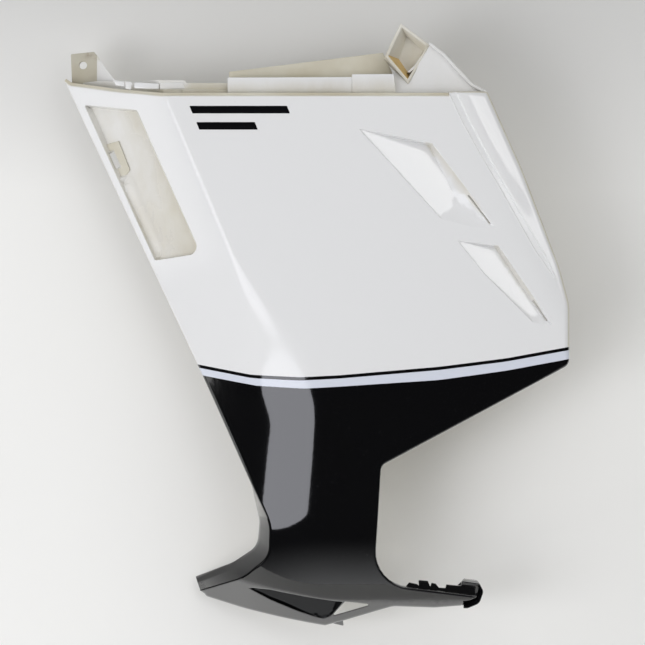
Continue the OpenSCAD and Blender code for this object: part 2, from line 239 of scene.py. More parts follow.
ARCH_LINE = [(95.1, -441.6), (134.5, -422.5, 48), (155.9, -403, 18), (156.8, -376.6, 30), (140, -341.6)]
ARCH_EDGE = [(91.6, -430.5), (125.8, -412.6, 48), (146.4, -397.2, 18), (148.1, -375.6, 26), (141.3, -346.6)]
OUTLINE = np.concatenate([rounded([
    (-14.4, -13.3, 1.2), (-8.7, -17.1, 4), (30.5, -25.2, 120), (71, -31.9, 8), (299.9, -31.9, 0.4),
    (300.9, -29.3, 0.4), (332.5, -27.9, 3.2), (360.1, -90.4, 200), (390.1, -169.8, 80),
    (397.9, -200.3, 40), (397.3, -248.1, 8), (246.5, -328.9, 7.2), (240.7, -424.9, 30.4),
    (325.9, -436.1, 0.8), (312.9, -445.5, 4.8), (291, -447.6, 30), (257, -446.1, 16),
    (218.1, -460.8, 20), (201.6, -466.6, 3.2), (130.1, -453.9, 60), (100, -447.2, 4)]),
    rounded_open(ARCH_LINE)])
WINDOW = rounded([(2.4, -34.4, 1.2), (49, -42.1, 2.4), (100.9, -158.3, 7.2), (61.2, -163.3, 2.4)])
WINDOW_LEFT = ((2.4, -34.4), (61.2, -163.3))
VENT_UP = rounded([(227.9, -58.9, 0.8), (287.9, -71.5, 2), (338.7, -138.3, 1), (319.7, -137.7, 4.8),
                   (294.3, -131.5, 6.4)])
VENT_LOW = rounded([(307.1, -148.6, 0.8), (341, -153.4, 1.6), (384.3, -216.8, 1), (367.1, -214.3, 5),
                    (328.9, -176, 20)])
# a vent's upper start, the lie of its ramp in degrees, deep line, rim, bottom chain and slope of the foot
VENT_UP_LINES = ((227.9, -58.9), 46.9, [(285.4, -71.4), (308, -118)], [(287.9, -71.5), (338.7, -138.3)],
                 [(294.3, -131.5), (319.7, -137.7), (338.7, -138.3)], 0.38)
VENT_LOW_LINES = ((307.1, -148.6), 51.5, [(338.5, -152.9), (367.7, -197.8)],
                  [(341, -153.4), (384.3, -216.8)], [(328.9, -176), (367.1, -214.3), (384.3, -216.8)], 0.8)
LEAF = rounded([(136.6, -431.9, 0.6), (156.7, -431.9, 20), (205.6, -439.9, 30), (216.2, -441.3, 0.6),
                (206.5, -456.1, 6), (199.9, -460.1, 3), (180.9, -453, 20), (156.3, -442.4, 20)])
GAP = rounded([(217.8, -441.1, 0.6), (239.8, -444.1, 1), (206.9, -456.4, 1)])
GROOVE = rounded([(295.8, -20), (302.4, -20), (317.3, -52.3, 60), (327.6, -72, 60), (347.6, -108.3, 90),
                  (379.7, -163.2, 60), (387.8, -182.6, 0.5), (368.8, -155.3, 60), (342.4, -108.3, 90),
                  (321.2, -72, 60), (310.4, -52.3, 60)])
# how far down and how far right the groove's right side passes
GROOVE_RIGHT = ([20, 52.3, 72, 108.3, 163.2, 190], [302.4, 317.3, 327.6, 347.6, 379.7, 392])
TOP_EDGE = rounded_open([(-14.4, -13.3), (-8.7, -17.1, 4), (30.5, -25.2, 120), (71, -31.9, 8), (300, -31.9)])
SLOT_UP = rounded([(316, -112.8, 0.2), (316.8, -112.2, 0.2), (334, -134.9, 0.2), (333.2, -135.5, 0.2)], 2)
SLOT_LOW = rounded([(368, -197, 0.2), (368.8, -196.4, 0.2), (379.8, -212.6, 0.2), (379, -213.2, 0.2)], 2)
CLIP_SLOT = rounded([(22.4, -74.1, 0.5), (26.5, -72.3, 0.5), (32.3, -84.8, 0.5), (28.2, -87, 0.5)], 3)
CLIP_FRAME = rounded([(19.2, -67.1, 0.6), (31.4, -64.7, 0.8), (40.8, -88.6, 0.8), (37.5, -92.4, 1),
                      (31.7, -92.9, 0.8), (28.7, -88.7, 0.5), (33.3, -85.7, 0.5), (26.9, -71.6, 0.5),
                      (21.2, -72.9, 0.5)], 3)
PIN_LINE = rounded_open([(80, -246), (141.7, -256.6, 60), (181.5, -258.2, 60), (213.5, -256.5, 60),
                         (293.1, -249.7, 200), (346.1, -243, 200), (405.6, -232.2)])
BLACK_LINE = rounded_open([(80, -254.5), (145.9, -265.4, 40), (184.9, -267.3, 60), (213.5, -265.6, 60),
                           (293.1, -260.3, 200), (346.1, -252.9, 200), (405.6, -241.9)])
TEETH = rounded([(262, -436, 0.4), (269.8, -425.5, 0.8), (276.3, -426.9, 0.5), (278, -428.7, 0.4),
                 (277.4, -423.5, 0.7), (285.1, -424.2, 0.7), (287.3, -429.6, 0.4), (288, -425.8, 0.7),
                 (291.6, -426.6, 0.5), (294.3, -430.1, 0.5), (299.7, -430.4, 0.5), (300, -427.3, 0.7),
                 (312, -428.5, 0.5), (312.9, -424.2, 0.8), (326.4, -426.2, 0.8), (326.6, -441, 0.4),
                 (295.3, -441, 0.4)], 3)
CURL = rounded([(316, -425, 0.5), (327.2, -426.4, 3), (330.6, -433, 5), (327.2, -442.8, 7),
                (317.5, -446.8, 5), (309, -446.4, 0.5), (309, -432, 0.5)])
SMALL_TAB = rounded([(207.4, -456, 0.5), (216, -456, 0.5), (217.1, -466.9, 0.8), (208.2, -464.4, 0.8)], 3)
ARCH_ZONE = np.array([(80, -325), (150, -325), (172, -372), (172, -408), (140, -432), (112, -437),
                      (112, -460), (80, -460)], float)
TAB = rounded([(-10.3, 9.3, 1), (9.1, 11.2, 0.6), (11.9, 8, 1), (14, 5, 0.3), (14, -22, 0.3),
               (-8.9, -22, 0.3)])
BRACE = [(9.1, 11.2), (11.9, 8, 1), (18.6, -2.1, 30), (30.2, -17, 8), (41, -20)]
BRACE_AT, BRACE_TURN = 11.5, 44.5
FLANGE = rounded([(-8.5, -21.3, 0.3), (-8.3, -14.9, 0.5), (12.8, -14.3, 0.5), (37.7, -16.6, 1),
                  (44.7, -18, 0.5), (46, -20.5, 0.5), (50, -18, 0.5), (88, -18.3, 1), (90, -20.6, 0.6),
                  (123.1, -20.6, 0.3), (123.1, -28.7, 0.3), (70, -30, 4), (30, -24.5, 8)], 3)
BOX_LONG = [(123, -17.1), (223.2, -16.6), (223.2, -30.5), (123, -30.5)]
BOX_SHORT = [(223.2, -14.5), (257, -14.2), (258.3, -30.5), (223.2, -30.5)]
LEDGE = [(123.5, -10.4), (248.7, 5.1), (256, -10.7), (257.6, -20), (123.5, -20)]
LEDGE_STEP = [(123.5, -17), (257.6, -17), (257.6, -20), (123.5, -20)]
BACK_PLATE = [(123, -16), (257, -16), (257, -31), (123, -31)]
RAIL = [(86, -25.5), (124, -26.3), (124, -30.5), (86, -30.5)]
WEB = [(256.5, -31.2), (256.5, -9.5), (268.3, -20.5), (286, 9.7), (287.6, 11.1), (298.4, 2.6),
       (320.3, -21.1), (332.7, -27), (331, -31.2)]
WEB_EDGE = [(286.4, 11.9), (287.6, 11.1, 0.5), (298.4, 2.6, 10), (320.3, -21.1, 14), (331.5, -27.4)]
SOCKET = np.array([(262.4, 27.1), (287.2, 9.9), (268.7, -21.7), (249.7, 0)])
BAR_AT = np.array([93.0, -41.0])
BAR_LEAN, BAR_W, BAR_PITCH = 0.42, 6.0, 13.0
BAR_RUN, BAR_SHORT = 78.0, 0.6


def line_z(line, x):
    return np.interp(x, line[:, 0], line[:, 1])


# Depth of the moulded face with its recesses, before its edges are rolled
def edge_radius(x, z):
    return 1.8 + 2.6 * ease((x - 290) / 40) * ease((z + 262) / 30)


def ramp(x, z, start, lie):
    a = math.radians(lie)
    across = (x - start[0]) * math.sin(a) + (z - start[1]) * math.cos(a)
    return 0.8 + np.maximum(across, 0) * math.tan(math.radians(VENT_RAMP))


def from_line(pts, a, b):
    """Distance to the right of the run from a to b."""
    d = unit(np.array(b, float) - np.array(a, float))
    return (pts[:, 0] - a[0]) * d[1] - (pts[:, 1] - a[1]) * d[0]


def vent(pts, shape, lines, grow):
    """Depth of a scoop: the ramp sinks to the deep line, the far wall and the foot rise from it."""
    start, lie, (top, low), rim, bottom, slope = lines
    x, z = pts.T
    ends = np.array([low, top])
    deep = np.interp(z, ends[:, 1], ramp(*ends.T, start, lie))
    width = np.interp(z, ends[:, 1], from_line(ends, *rim))
    wall = deep * np.clip((from_line(pts, *rim) + grow) / width, 0, 1)
    foot = slope * np.maximum(z + grow - np.interp(x, *np.array(bottom).T), 0)
    floor = np.minimum(np.minimum(ramp(x, z, start, lie), wall), foot)
    return ease((depth_in(pts, shape) + grow) / 0.9) * floor


def leaf_floor(x, z):
    """Depth of the flat floor of the leaf recess, which slopes down and a little across."""
    return (-12 - (z + 460) * math.tan(math.radians(LEAF_RAMP))
            + (200 - x) * math.tan(math.radians(LEAF_TILT)))


def moulding(pts, grow=0.0):
    """Depth of the face; grow widens its recesses, for the inner side of their walls."""
    x, z = pts[:, 0], pts[:, 1]
    base = face(x, z)
    y = base.copy()
    y += vent(pts, VENT_UP, VENT_UP_LINES, grow) + vent(pts, VENT_LOW, VENT_LOW_LINES, grow)
    win = depth_in(pts, WINDOW) + grow
    from_left = -from_line(pts, *WINDOW_LEFT) + grow
    y += POCKET_DEPTH * np.minimum(ease(win / 0.9), np.clip(from_left / POCKET_WALL, 0, 1))
    y += ease((depth_in(pts, LEAF) + grow) / 1.6) * np.maximum(leaf_floor(x, z) - base, 0)
    if grow == 0:
        groove = depth_in(pts, GROOVE)
        ridges = RIDGE_HEIGHT * np.clip(1 - np.abs(groove) / RIDGE_HALF, 0, 1)
        y += GROOVE_DEPTH * ease(groove / 1.2 + 0.3) - ridges
        right = x - np.interp(-z, *GROOVE_RIGHT)
        swell = np.sin(np.pi * np.clip(right / SWELL_WIDTH, 0, 1)) ** 2
        y -= SWELL_HEIGHT * swell * ease((z + 190) / 50) * ease((-z - 60) / 70)
        y -= HOLLOW_HEIGHT * (1 - (1 - np.clip(right / HOLLOW_WIDTH, 0, 1)) ** 2) * ease((z + 135) / 55)
    return y


def grid_points():
    """Points across (beside the crease) and down the face, closer where it turns."""
    near_crease = [math.copysign(abs(k / 18) ** 1.5 * 42, k) for k in range(-18, 19)]
    us = np.concatenate([np.arange(-150, -44, 6), near_crease, np.arange(47, 212, 7),
                         np.arange(214, 276, 3.4), np.arange(278, 420, 5)])
    vs = np.concatenate([np.arange(-45, 160, 6), np.arange(161, 366, 5), np.arange(366, 425, 2.6),
                         np.arange(425, 480, 1.8)])
    v, u = [a.ravel() for a in np.meshgrid(vs, us, indexing="ij")]
    x = crease_x(-v) + u
    return np.stack([x, -(v - ease((v - 400) / 30) * (439 - hem_z(x)))], 1)


# Mesh makers
def new_piece(name, verts, faces):
    mesh = bpy.data.meshes.new(name)
    mesh.from_pydata((np.asarray(verts) * MM).tolist(), [], faces)
    mesh.validate()
    obj = bpy.data.objects.new(name, mesh)
    bpy.context.scene.collection.objects.link(obj)
    return obj


def rings(loop, offsets, tol=0.97):
    """Loops offset inwards, with the stretches that would cross left out."""
    n = inward(loop)
    for off in offsets:
        ring = loop + n * np.reshape(off, (-1, 1))
        off = np.abs(np.broadcast_to(off, len(loop)))
        yield ring, away(ring, loop) >= off * tol - 1e-6


def curved_sheet(name, outer, holes, front, back, roll, hole_roll, points, marks=(), lines=(), keep=None,
                 step=3.0):
    """Closed sheet over a plane shape. front and back give its depths, and its edges roll over a radius.

    points fill the shape, marks are closed loops that get rings on both sides, and lines are open paths
    that stay as mesh edges. keep picks the triangles that stay, by their middles."""
    loops = [dense(outer, step)] + [dense(h, min(step, 2.0)) for h in holes]
    pts, edges, count = [], [], 0
    beyond = (0.5, 1.4, 3.0) if step > 2 else (0.5,)

    def add(ring, good, closed=True):
        nonlocal count
        ids = np.full(len(ring), -1)
        ids[good] = count + np.arange(int(good.sum()))
        pts.append(ring[good])
        count += int(good.sum())
        nxt = np.roll(ids, -1)
        pairs = list(zip(ids, nxt))[:len(ids) if closed else len(ids) - 1]
        edges.extend((int(a), int(b)) for a, b in pairs if a >= 0 and b >= 0)

    turn = [1 - math.cos(math.radians(t)) for t in (0, 18, 38, 60, 90)]
    for i, loop in enumerate(loops):
        r = roll(loop[:, 0], loop[:, 1]) if i == 0 else np.full(len(loop), hole_roll)
        sign = 1 if i == 0 else -1
        steps = [sign * r * t for t in turn] + [sign * (r + past) for past in beyond]
        for k, (ring, good) in enumerate(rings(loop, steps)):
            if k:
                good &= inside(ring, loops[0])
                for h in loops[1:]:
                    good &= ~inside(ring, h)
            else:
                good[:] = True
            add(ring, good)
    for mark in marks:
        loop = dense(mark, 2.2)
        for ring, good in rings(loop, [-2.4, -1.6, -0.8, 0.0, 0.25, 0.55, 0.85, 1.15, 1.7]):
            add(ring, good & inside(ring, loops[0]))
    for line in lines:
        path = dense(line, 2.0, False)
        add(path, np.ones(len(path), bool), False)
    q = points[inside(points, loops[0])]
    far = away(q, loops[0]) > roll(q[:, 0], q[:, 1]) + beyond[-1] + 0.6
    for loop in loops[1:]:
        far &= ~inside(q, loop) & (away(q, loop) > hole_roll + beyond[-1] + 0.6)
    for mark in marks:
        far &= np.abs(depth_in(q, mark)) > 2.6
    for line in lines:
        far &= away(q, line, False) > 0.9
    pts.append(q[far])
    flat = np.concatenate(pts)
    co, _, tris, *_ = delaunay_2d_cdt([Vector(p) for p in flat], edges, [], 0, 1e-4)
    co = np.array([tuple(c) for c in co])
    tri = np.array([t for t in tris if len(t) == 3])
    mid = co[tri].mean(axis=1)
    ok = inside(mid, loops[0])
    for h in loops[1:]:
        ok &= ~inside(mid, h)
    if keep is not None:
        ok &= keep(mid)
    tri = tri[ok]
    e1, e2 = co[tri[:, 1]] - co[tri[:, 0]], co[tri[:, 2]] - co[tri[:, 0]]
    way = e1[:, 0] * e2[:, 1] - e1[:, 1] * e2[:, 0]
    tri, way = tri[np.abs(way) > 1e-7], way[np.abs(way) > 1e-7]
    tri[way < 0] = tri[way < 0][:, ::-1]
    used, inv = np.unique(tri, return_inverse=True)
    tri, co = inv.reshape(tri.shape), co[used]
    lift = np.zeros(len(co))
    for i, loop in enumerate(loops):
        r = roll(co[:, 0], co[:, 1]) if i == 0 else np.full(len(co), hole_roll)
        d = away(co, loop)
        lift = np.maximum(lift, np.where(d < r, r - np.sqrt(np.maximum(r * r - (r - d) ** 2, 0)), 0))
    y0, y1 = front(co) + lift, back(co)
    y1 = np.maximum(y1, y0 + 0.03)
    n = len(co)
    verts = np.concatenate([np.stack([co[:, 0], y, co[:, 1]], 1) for y in (y0, y1)])
    pairs = {(p, q) for a, b, c in tri.tolist() for p, q in ((a, b), (b, c), (c, a))}
    faces = tri.tolist() + [[c + n, b + n, a + n] for a, b, c in tri.tolist()]
    faces += [[q, p, p + n, q + n] for p, q in pairs if (q, p) not in pairs]
    return new_piece(name, verts, faces)


def only(obj):
    for o in bpy.context.view_layer.objects:
        o.select_set(False)
    obj.select_set(True)
    bpy.context.view_layer.objects.active = obj


def face_out(obj):
    only(obj)
    bpy.ops.object.mode_set(mode="EDIT")
    bpy.ops.mesh.select_all(action="SELECT")
    bpy.ops.mesh.normals_make_consistent(inside=False)
    bpy.ops.object.mode_set(mode="OBJECT")


def bevel(obj, width, angle=30):
    only(obj)
    m = obj.modifiers.new("edges", "BEVEL")
    m.width, m.segments, m.limit_method = width * MM, 3, "ANGLE"
    m.angle_limit = math.radians(angle)
    bpy.ops.object.modifier_apply(modifier=m.name)


def block(name, shape, y0, y1, edge=0.5, hollow=None, draft=None):
    """A disc drawn to the shape and extruded from y0 to y1. hollow = (wall, floor) sinks its far face.

    draft = (centre, width, height) shrinks the sunk floor about its centre."""
    for o in bpy.context.view_layer.objects:
        o.select_set(False)
    bpy.ops.mesh.primitive_circle_add(vertices=len(shape), radius=0.1, fill_type="NGON")
    obj = bpy.context.object
    obj.name = obj.data.name = name
    for v, p in zip(obj.data.vertices, shape):
        v.co = (p[0] * MM, y0 * MM, p[1] * MM)
    obj.location = (0, 0, 0)
    bpy.ops.object.mode_set(mode="EDIT")
    bpy.ops.mesh.select_all(action="SELECT")
    bpy.ops.mesh.extrude_region_move(TRANSFORM_OT_translate={"value": (0, (y1 - y0) * MM, 0)})
    if hollow:
        bpy.ops.mesh.inset(thickness=hollow[0] * MM, use_even_offset=True)
        sink = (y0 - y1) * MM * (1 - hollow[1] / abs(y1 - y0))
        bpy.ops.mesh.extrude_region_move(TRANSFORM_OT_translate={"value": (0, sink, 0)})
    if draft:
        (x, z), wide, high = draft
        old = shape.mean(axis=0)
        bpy.ops.transform.translate(value=((x - old[0]) * MM, 0, (z - old[1]) * MM))
        bpy.ops.transform.resize(value=(wide, 1, high), center_override=(x * MM, 0, z * MM))
    bpy.ops.object.mode_set(mode="OBJECT")
    face_out(obj)
    if edge:
        bevel(obj, edge)
    return obj


def wall_strip(name, outer, inner, y0, y1, edge):
    """Wall between two matching open paths, from the depth y0 to y1 at each point."""
    n = len(outer)
    y0, y1 = np.broadcast_to(y0, n), np.broadcast_to(y1, n)
    side = np.sign(y1 - y0) * edge
    rows = [np.stack([p[:, 0], y, p[:, 1]], 1) for p, y in (
        (outer, y0), (outer, y1 - side), (outer + (inner - outer) * 0.15, y1),
        (inner + (outer - inner) * 0.15, y1), (inner, y1 - side), (inner, y0))]
    k = len(rows)
    faces = [[r * n + i, r * n + i + 1, ((r + 1) % k) * n + i + 1, ((r + 1) % k) * n + i]
             for i in range(n - 1) for r in range(k)]
    faces += [[r * n for r in range(k)], [r * n + n - 1 for r in reversed(range(k))]]
    obj = new_piece(name, np.concatenate(rows), faces)
    face_out(obj)
    return obj


def beside(path, off):
    """An open path moved sideways by off, to the left of its run."""
    e = np.gradient(path, axis=0)
    e /= np.maximum(np.linalg.norm(e, axis=1, keepdims=True), 1e-9)
    return path + np.stack([-e[:, 1], e[:, 0]], 1) * off


def dress(obj, slot, mats, node="panel", angle=40):
    for m in mats if isinstance(mats, (list, tuple)) else [mats]:
        obj.data.materials.append(m)
    only(obj)
    bpy.ops.object.shade_smooth_by_angle(angle=math.radians(angle))
    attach(obj, "root")
    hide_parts(node)
    return obj


def paint(obj, rule):
    """Gives each face the finish that rule picks from its middle (in millimetres) and its normal."""
    n = len(obj.data.polygons)
    mid, nor = np.empty(n * 3), np.empty(n * 3)
    obj.data.polygons.foreach_get("center", mid)
    obj.data.polygons.foreach_get("normal", nor)
    idx = np.asarray(rule(mid.reshape(-1, 3) / MM, nor.reshape(-1, 3)), dtype=np.int32)
    obj.data.polygons.foreach_set("material_index", idx)
    obj.data.update()


def mark_bare_and_painted_light(obj, rule):
    """Stores how bare of lacquer each point is, from 0 to 1; in places the value also holds painted shade or
    a painted highlight.
    """
    co = np.empty(len(obj.data.vertices) * 3)
    obj.data.vertices.foreach_get("co", co)
    co = co.reshape(-1, 3) / MM
    att = obj.data.attributes.new("bare", "FLOAT", "POINT")
    att.data.foreach_set("value", np.clip(np.broadcast_to(rule(co), len(co)), 0, 1).astype(np.float32))


# Finishes
class Board:
    """A node tree that is written from left to right."""

    def __init__(self, tree):
        self.tree = tree
        tree.nodes.clear()

    def add(self, kind, **inputs):
        node = self.tree.nodes.new(kind)
        for key, value in inputs.items():
            if key[0].islower():
                setattr(node, key, value)
        for key, value in inputs.items():
            if not key[0].islower():
                self.feed(node.inputs[key.replace("_", " ")], value)
        return node

    def link(self, a, b):
        self.tree.links.new(a, b)

    def feed(self, socket, value):
        if isinstance(value, bpy.types.NodeSocket):
            self.link(value, socket)
        else:
            socket.default_value = value

    def math(self, operation, a, b=0.0, clamp=False):
        node = self.tree.nodes.new("ShaderNodeMath")
        node.operation, node.use_clamp = operation, clamp
        for socket, value in zip(node.inputs, (a, b)):
            self.feed(socket, value)
        return node.outputs[0]

    def mix(self, factor, a, b):
        node = self.tree.nodes.new("ShaderNodeMix")
        node.data_type = "RGBA"
        for place, value in ((0, factor), (6, a), (7, b)):
            self.feed(node.inputs[place], value)
        return node.outputs[2]

    def stretch(self, value, low, high, to_low=0.0, to_high=1.0):
        node = self.add("ShaderNodeMapRange", Value=value, From_Min=low, From_Max=high, To_Min=to_low,
                        To_Max=to_high)
        return node.outputs[0]

    def bump(self, shader, height, strength):
        relief = self.add("ShaderNodeBump", Strength=strength, Distance=0.0004, Height=height)
        self.link(relief.outputs[0], shader.inputs["Normal"])


def group(name, outputs):
    """A shared effect on object coordinates. Returns the tree, its board, its end node and its start."""
    tree = bpy.data.node_groups.new(name, "ShaderNodeTree")
    for label in outputs:
        tree.interface.new_socket(name=label, in_out="OUTPUT", socket_type="NodeSocketFloat")
    board = Board(tree)
    end = tree.nodes.new("NodeGroupOutput")
    at = tree.nodes.new("ShaderNodeTexCoord").outputs["Object"]
    return tree, board, end, at


def lacquer_surface():
    """Orange peel, polishing hairlines, settled dust and a slow change of tone."""
    tree, b, end, at = group("lacquer_surface", ("Peel", "Hairlines", "Dust", "Tone"))
    peel = b.add("ShaderNodeTexNoise", Vector=at, Scale=260.0, Detail=1.5, Roughness=0.4)
    b.link(peel.outputs["Fac"], end.inputs["Peel"])
    turned = b.add("ShaderNodeMapping", Vector=at, Rotation=(0.0, 0.7, 0.3), Scale=(26.0, 26.0, 900.0))
    lines = b.add("ShaderNodeTexNoise", Vector=turned.outputs[0], Scale=1.0, Detail=2.0)
    b.link(b.stretch(lines.outputs["Fac"], 0.62, 0.8), end.inputs["Hairlines"])
    specks = b.add("ShaderNodeTexVoronoi", Vector=at, Scale=150.0, Randomness=1.0)
    near = b.stretch(specks.outputs["Distance"], 0.03, 0.11, 1.0, 0.0)
    patches = b.add("ShaderNodeTexNoise", Vector=at, Scale=9.0, Detail=3.0)
    here = b.stretch(patches.outputs["Fac"], 0.52, 0.7)
    b.link(b.math("MULTIPLY", near, here, True), end.inputs["Dust"])
    tone = b.add("ShaderNodeTexNoise", Vector=at, Scale=5.0, Detail=2.0, Roughness=0.45)
    b.link(tone.outputs["Fac"], end.inputs["Tone"])
    return tree


def raw_plastic():
    """Unpainted moulding: yellowed colour, flow marks and fine grain."""
    tree, b, end, at = group("raw_plastic", ("Yellowing", "Grain", "Overspray"))
    slow = b.add("ShaderNodeTexNoise", Vector=at, Scale=22.0, Detail=4.0, Roughness=0.55)
    b.link(b.stretch(slow.outputs["Fac"], 0.34, 0.7), end.inputs["Yellowing"])
    grain = b.add("ShaderNodeTexNoise", Vector=at, Scale=1500.0, Detail=2.0)
    b.link(grain.outputs["Fac"], end.inputs["Grain"])
    flow = b.add("ShaderNodeMapping", Vector=at, Scale=(60.0, 30.0, 24.0))
    mist = b.add("ShaderNodeTexNoise", Vector=flow.outputs[0], Scale=1.0, Detail=6.0, Roughness=0.6)
    b.link(mist.outputs["Fac"], end.inputs["Overspray"])
    return tree


def shared(name, make):
    tree = bpy.data.node_groups.get(name)
    return tree or make()


def finish(name):
    """A new material with its board, its shader and the shared lacquer surface."""
    mat = bpy.data.materials.new(name)
    mat.use_nodes = True
    b = Board(mat.node_tree)
    out = b.add("ShaderNodeOutputMaterial")
    shader = b.add("ShaderNodeBsdfPrincipled")
    b.link(shader.outputs[0], out.inputs["Surface"])
    paint_group = b.add("ShaderNodeGroup", node_tree=shared("lacquer_surface", lacquer_surface))
    return mat, b, shader, paint_group


def rgba(colour, k=1.0):
    return (colour[0] * k, colour[1] * k, colour[2] * k, 1.0)


def lacquer(name, colour, dust_colour, spread=0.03, roughness=0.07, coat=1.0, coat_from=None):
    """Gloss lacquer under clear coat. coat_from = (low, high) raises the clear coat with height, a painted
    sheen that makes the upper part lighter.
    """
    mat, b, shader, surf = finish(name)
    tone = b.mix(surf.outputs["Tone"], rgba(colour, 1 - spread), rgba(colour, 1 + spread * 0.6))
    dusty = b.math("MULTIPLY", surf.outputs["Dust"], 0.35)
    b.link(b.mix(dusty, tone, rgba(dust_colour)), shader.inputs["Base Color"])
    worn = b.math("MULTIPLY", surf.outputs["Hairlines"], 0.05)
    rough = b.math("ADD", b.math("ADD", worn, dusty), roughness, True)
    b.link(rough, shader.inputs["Roughness"])
    shader.inputs["IOR"].default_value = 1.5
    shader.inputs["Coat Weight"].default_value = coat
    # a clear coat that grows with height is a painted sheen
    if coat_from:
        place = b.add("ShaderNodeSeparateXYZ", Vector=b.add("ShaderNodeTexCoord").outputs["Object"])
        b.link(b.stretch(place.outputs["Z"], *coat_from), shader.inputs["Coat Weight"])
    shader.inputs["Coat Roughness"].default_value = 0.035
    b.bump(shader, surf.outputs["Peel"], 0.05)
    return mat


def shell_finish(name, colours):
    """White lacquer that thins out to the bare cream plastic where the point attribute says so; the attribute
    also holds painted shade and a painted highlight in places.
    """
    mat, b, shader, surf = finish(name)
    raw = b.add("ShaderNodeGroup", node_tree=shared("raw_plastic", raw_plastic))
    # bare holds bareness, with painted shade in the pocket and at the flange's foot and a painted highlight
    # on the socket rib
    bare = b.add("ShaderNodeAttribute", attribute_name="bare").outputs["Fac"]
    # mist breaks up the edge of the sprayed field
    mist = b.math("MULTIPLY", b.math("SUBTRACT", raw.outputs["Overspray"], 0.5), 0.8)
    open_field = b.math("MULTIPLY", bare, b.math("SUBTRACT", 1.0, bare))
    mask = b.math("ADD", bare, b.math("MULTIPLY", b.math("MULTIPLY", open_field, 4.0), mist), True)
    white = b.mix(surf.outputs["Tone"], rgba(colours.white, 0.985), rgba(colours.white, 1.01))
    dusty = b.math("MULTIPLY", surf.outputs["Dust"], 0.3)
    white = b.mix(dusty, white, (0.46, 0.44, 0.39, 1))
    cream = b.mix(raw.outputs["Yellowing"], rgba(colours.bare), rgba(colours.bare_aged))
    b.link(b.mix(mask, white, cream), shader.inputs["Base Color"])
    rough = b.stretch(mask, 0.0, 1.0, 0.09, 0.42)
    worn = b.math("MULTIPLY", surf.outputs["Hairlines"], 0.04)
    b.link(b.math("ADD", b.math("ADD", rough, worn), dusty, True), shader.inputs["Roughness"])
    shader.inputs["IOR"].default_value = 1.5
    b.bump(shader, b.mix(mask, surf.outputs["Peel"], raw.outputs["Grain"]), 0.06)
    return mat


def stained_finish(name, colours):
    """Bare tab plastic with a brown stain near its top edge."""
    mat, b, shader, surf = finish(name)
    raw = b.add("ShaderNodeGroup", node_tree=shared("raw_plastic", raw_plastic))
    at = b.add("ShaderNodeTexCoord").outputs["Object"]
    cream = b.mix(raw.outputs["Yellowing"], rgba(colours.bare, 0.8), rgba(colours.bare_aged, 0.8))
    place = b.add("ShaderNodeSeparateXYZ", Vector=at)
    blot = b.add("ShaderNodeTexNoise", Vector=at, Scale=160.0, Detail=5.0, Roughness=0.65)
    high = b.stretch(place.outputs["Z"], 0.0035, 0.0095)
    right = b.stretch(place.outputs["X"], -0.002, 0.004)
    where = b.math("MULTIPLY", high, right, True)
    mask = b.math("MULTIPLY", where, b.stretch(blot.outputs["Fac"], 0.4, 0.62), True)
    b.link(b.mix(b.math("MULTIPLY", mask, 0.62), cream, (0.19, 0.11, 0.07, 1)), shader.inputs["Base Color"])
    b.link(b.stretch(raw.outputs["Grain"], 0.3, 0.7, 0.38, 0.5), shader.inputs["Roughness"])
    shader.inputs["IOR"].default_value = 1.5
    b.bump(shader, raw.outputs["Grain"], 0.08)
    return mat


def amber_finish(name, colours):
    """Bare plastic aged to amber."""
    mat, b, shader, surf = finish(name)
    raw = b.add("ShaderNodeGroup", node_tree=shared("raw_plastic", raw_plastic))
    b.link(b.mix(raw.outputs["Yellowing"], rgba(colours.amber, 1.15), rgba(colours.amber, 0.85)),
           shader.inputs["Base Color"])
    b.link(b.stretch(raw.outputs["Grain"], 0.3, 0.7, 0.38, 0.5), shader.inputs["Roughness"])
    b.bump(shader, raw.outputs["Grain"], 0.08)
    return mat


def seam_finish(name):
    """Dull black without reflection in the narrow turn along the wheel arch, a painted shade line where the
    gap there is shaded.
    """
    mat, b, shader, surf = finish(name)
    b.link(b.mix(surf.outputs["Tone"], (0.002, 0.002, 0.002, 1), (0.006, 0.006, 0.006, 1)),
           shader.inputs["Base Color"])
    b.link(b.stretch(surf.outputs["Peel"], 0.3, 0.7, 0.8, 0.95), shader.inputs["Roughness"])
    shader.inputs["Specular IOR Level"].default_value = 0.1
    return mat


def backdrop_finish(colour):
    """Paper with painted shade that darkens it towards its top, clear from behind."""
    mat = bpy.data.materials.new("studio_sweep")
    mat.use_nodes = True
    b = Board(mat.node_tree)
    out = b.add("ShaderNodeOutputMaterial")
    place = b.add("ShaderNodeSeparateXYZ", Vector=b.add("ShaderNodeTexCoord").outputs["Object"])
    paper = b.add("ShaderNodeBsdfDiffuse", Roughness=0.5)
    # painted shade: the paper is darker towards its top
    b.link(b.mix(b.stretch(place.outputs["Z"], -0.1, 0.08, 0.0, 1.0), rgba(colour), rgba(colour, 0.8)),
           paper.inputs["Color"])
    clear = b.add("ShaderNodeBsdfTransparent")
    behind = b.add("ShaderNodeNewGeometry").outputs["Backfacing"]
    both = b.add("ShaderNodeMixShader")
    b.link(behind, both.inputs[0])
    b.link(paper.outputs[0], both.inputs[1])
    b.link(clear.outputs[0], both.inputs[2])
    b.link(both.outputs[0], out.inputs["Surface"])
    return mat


_made = {}


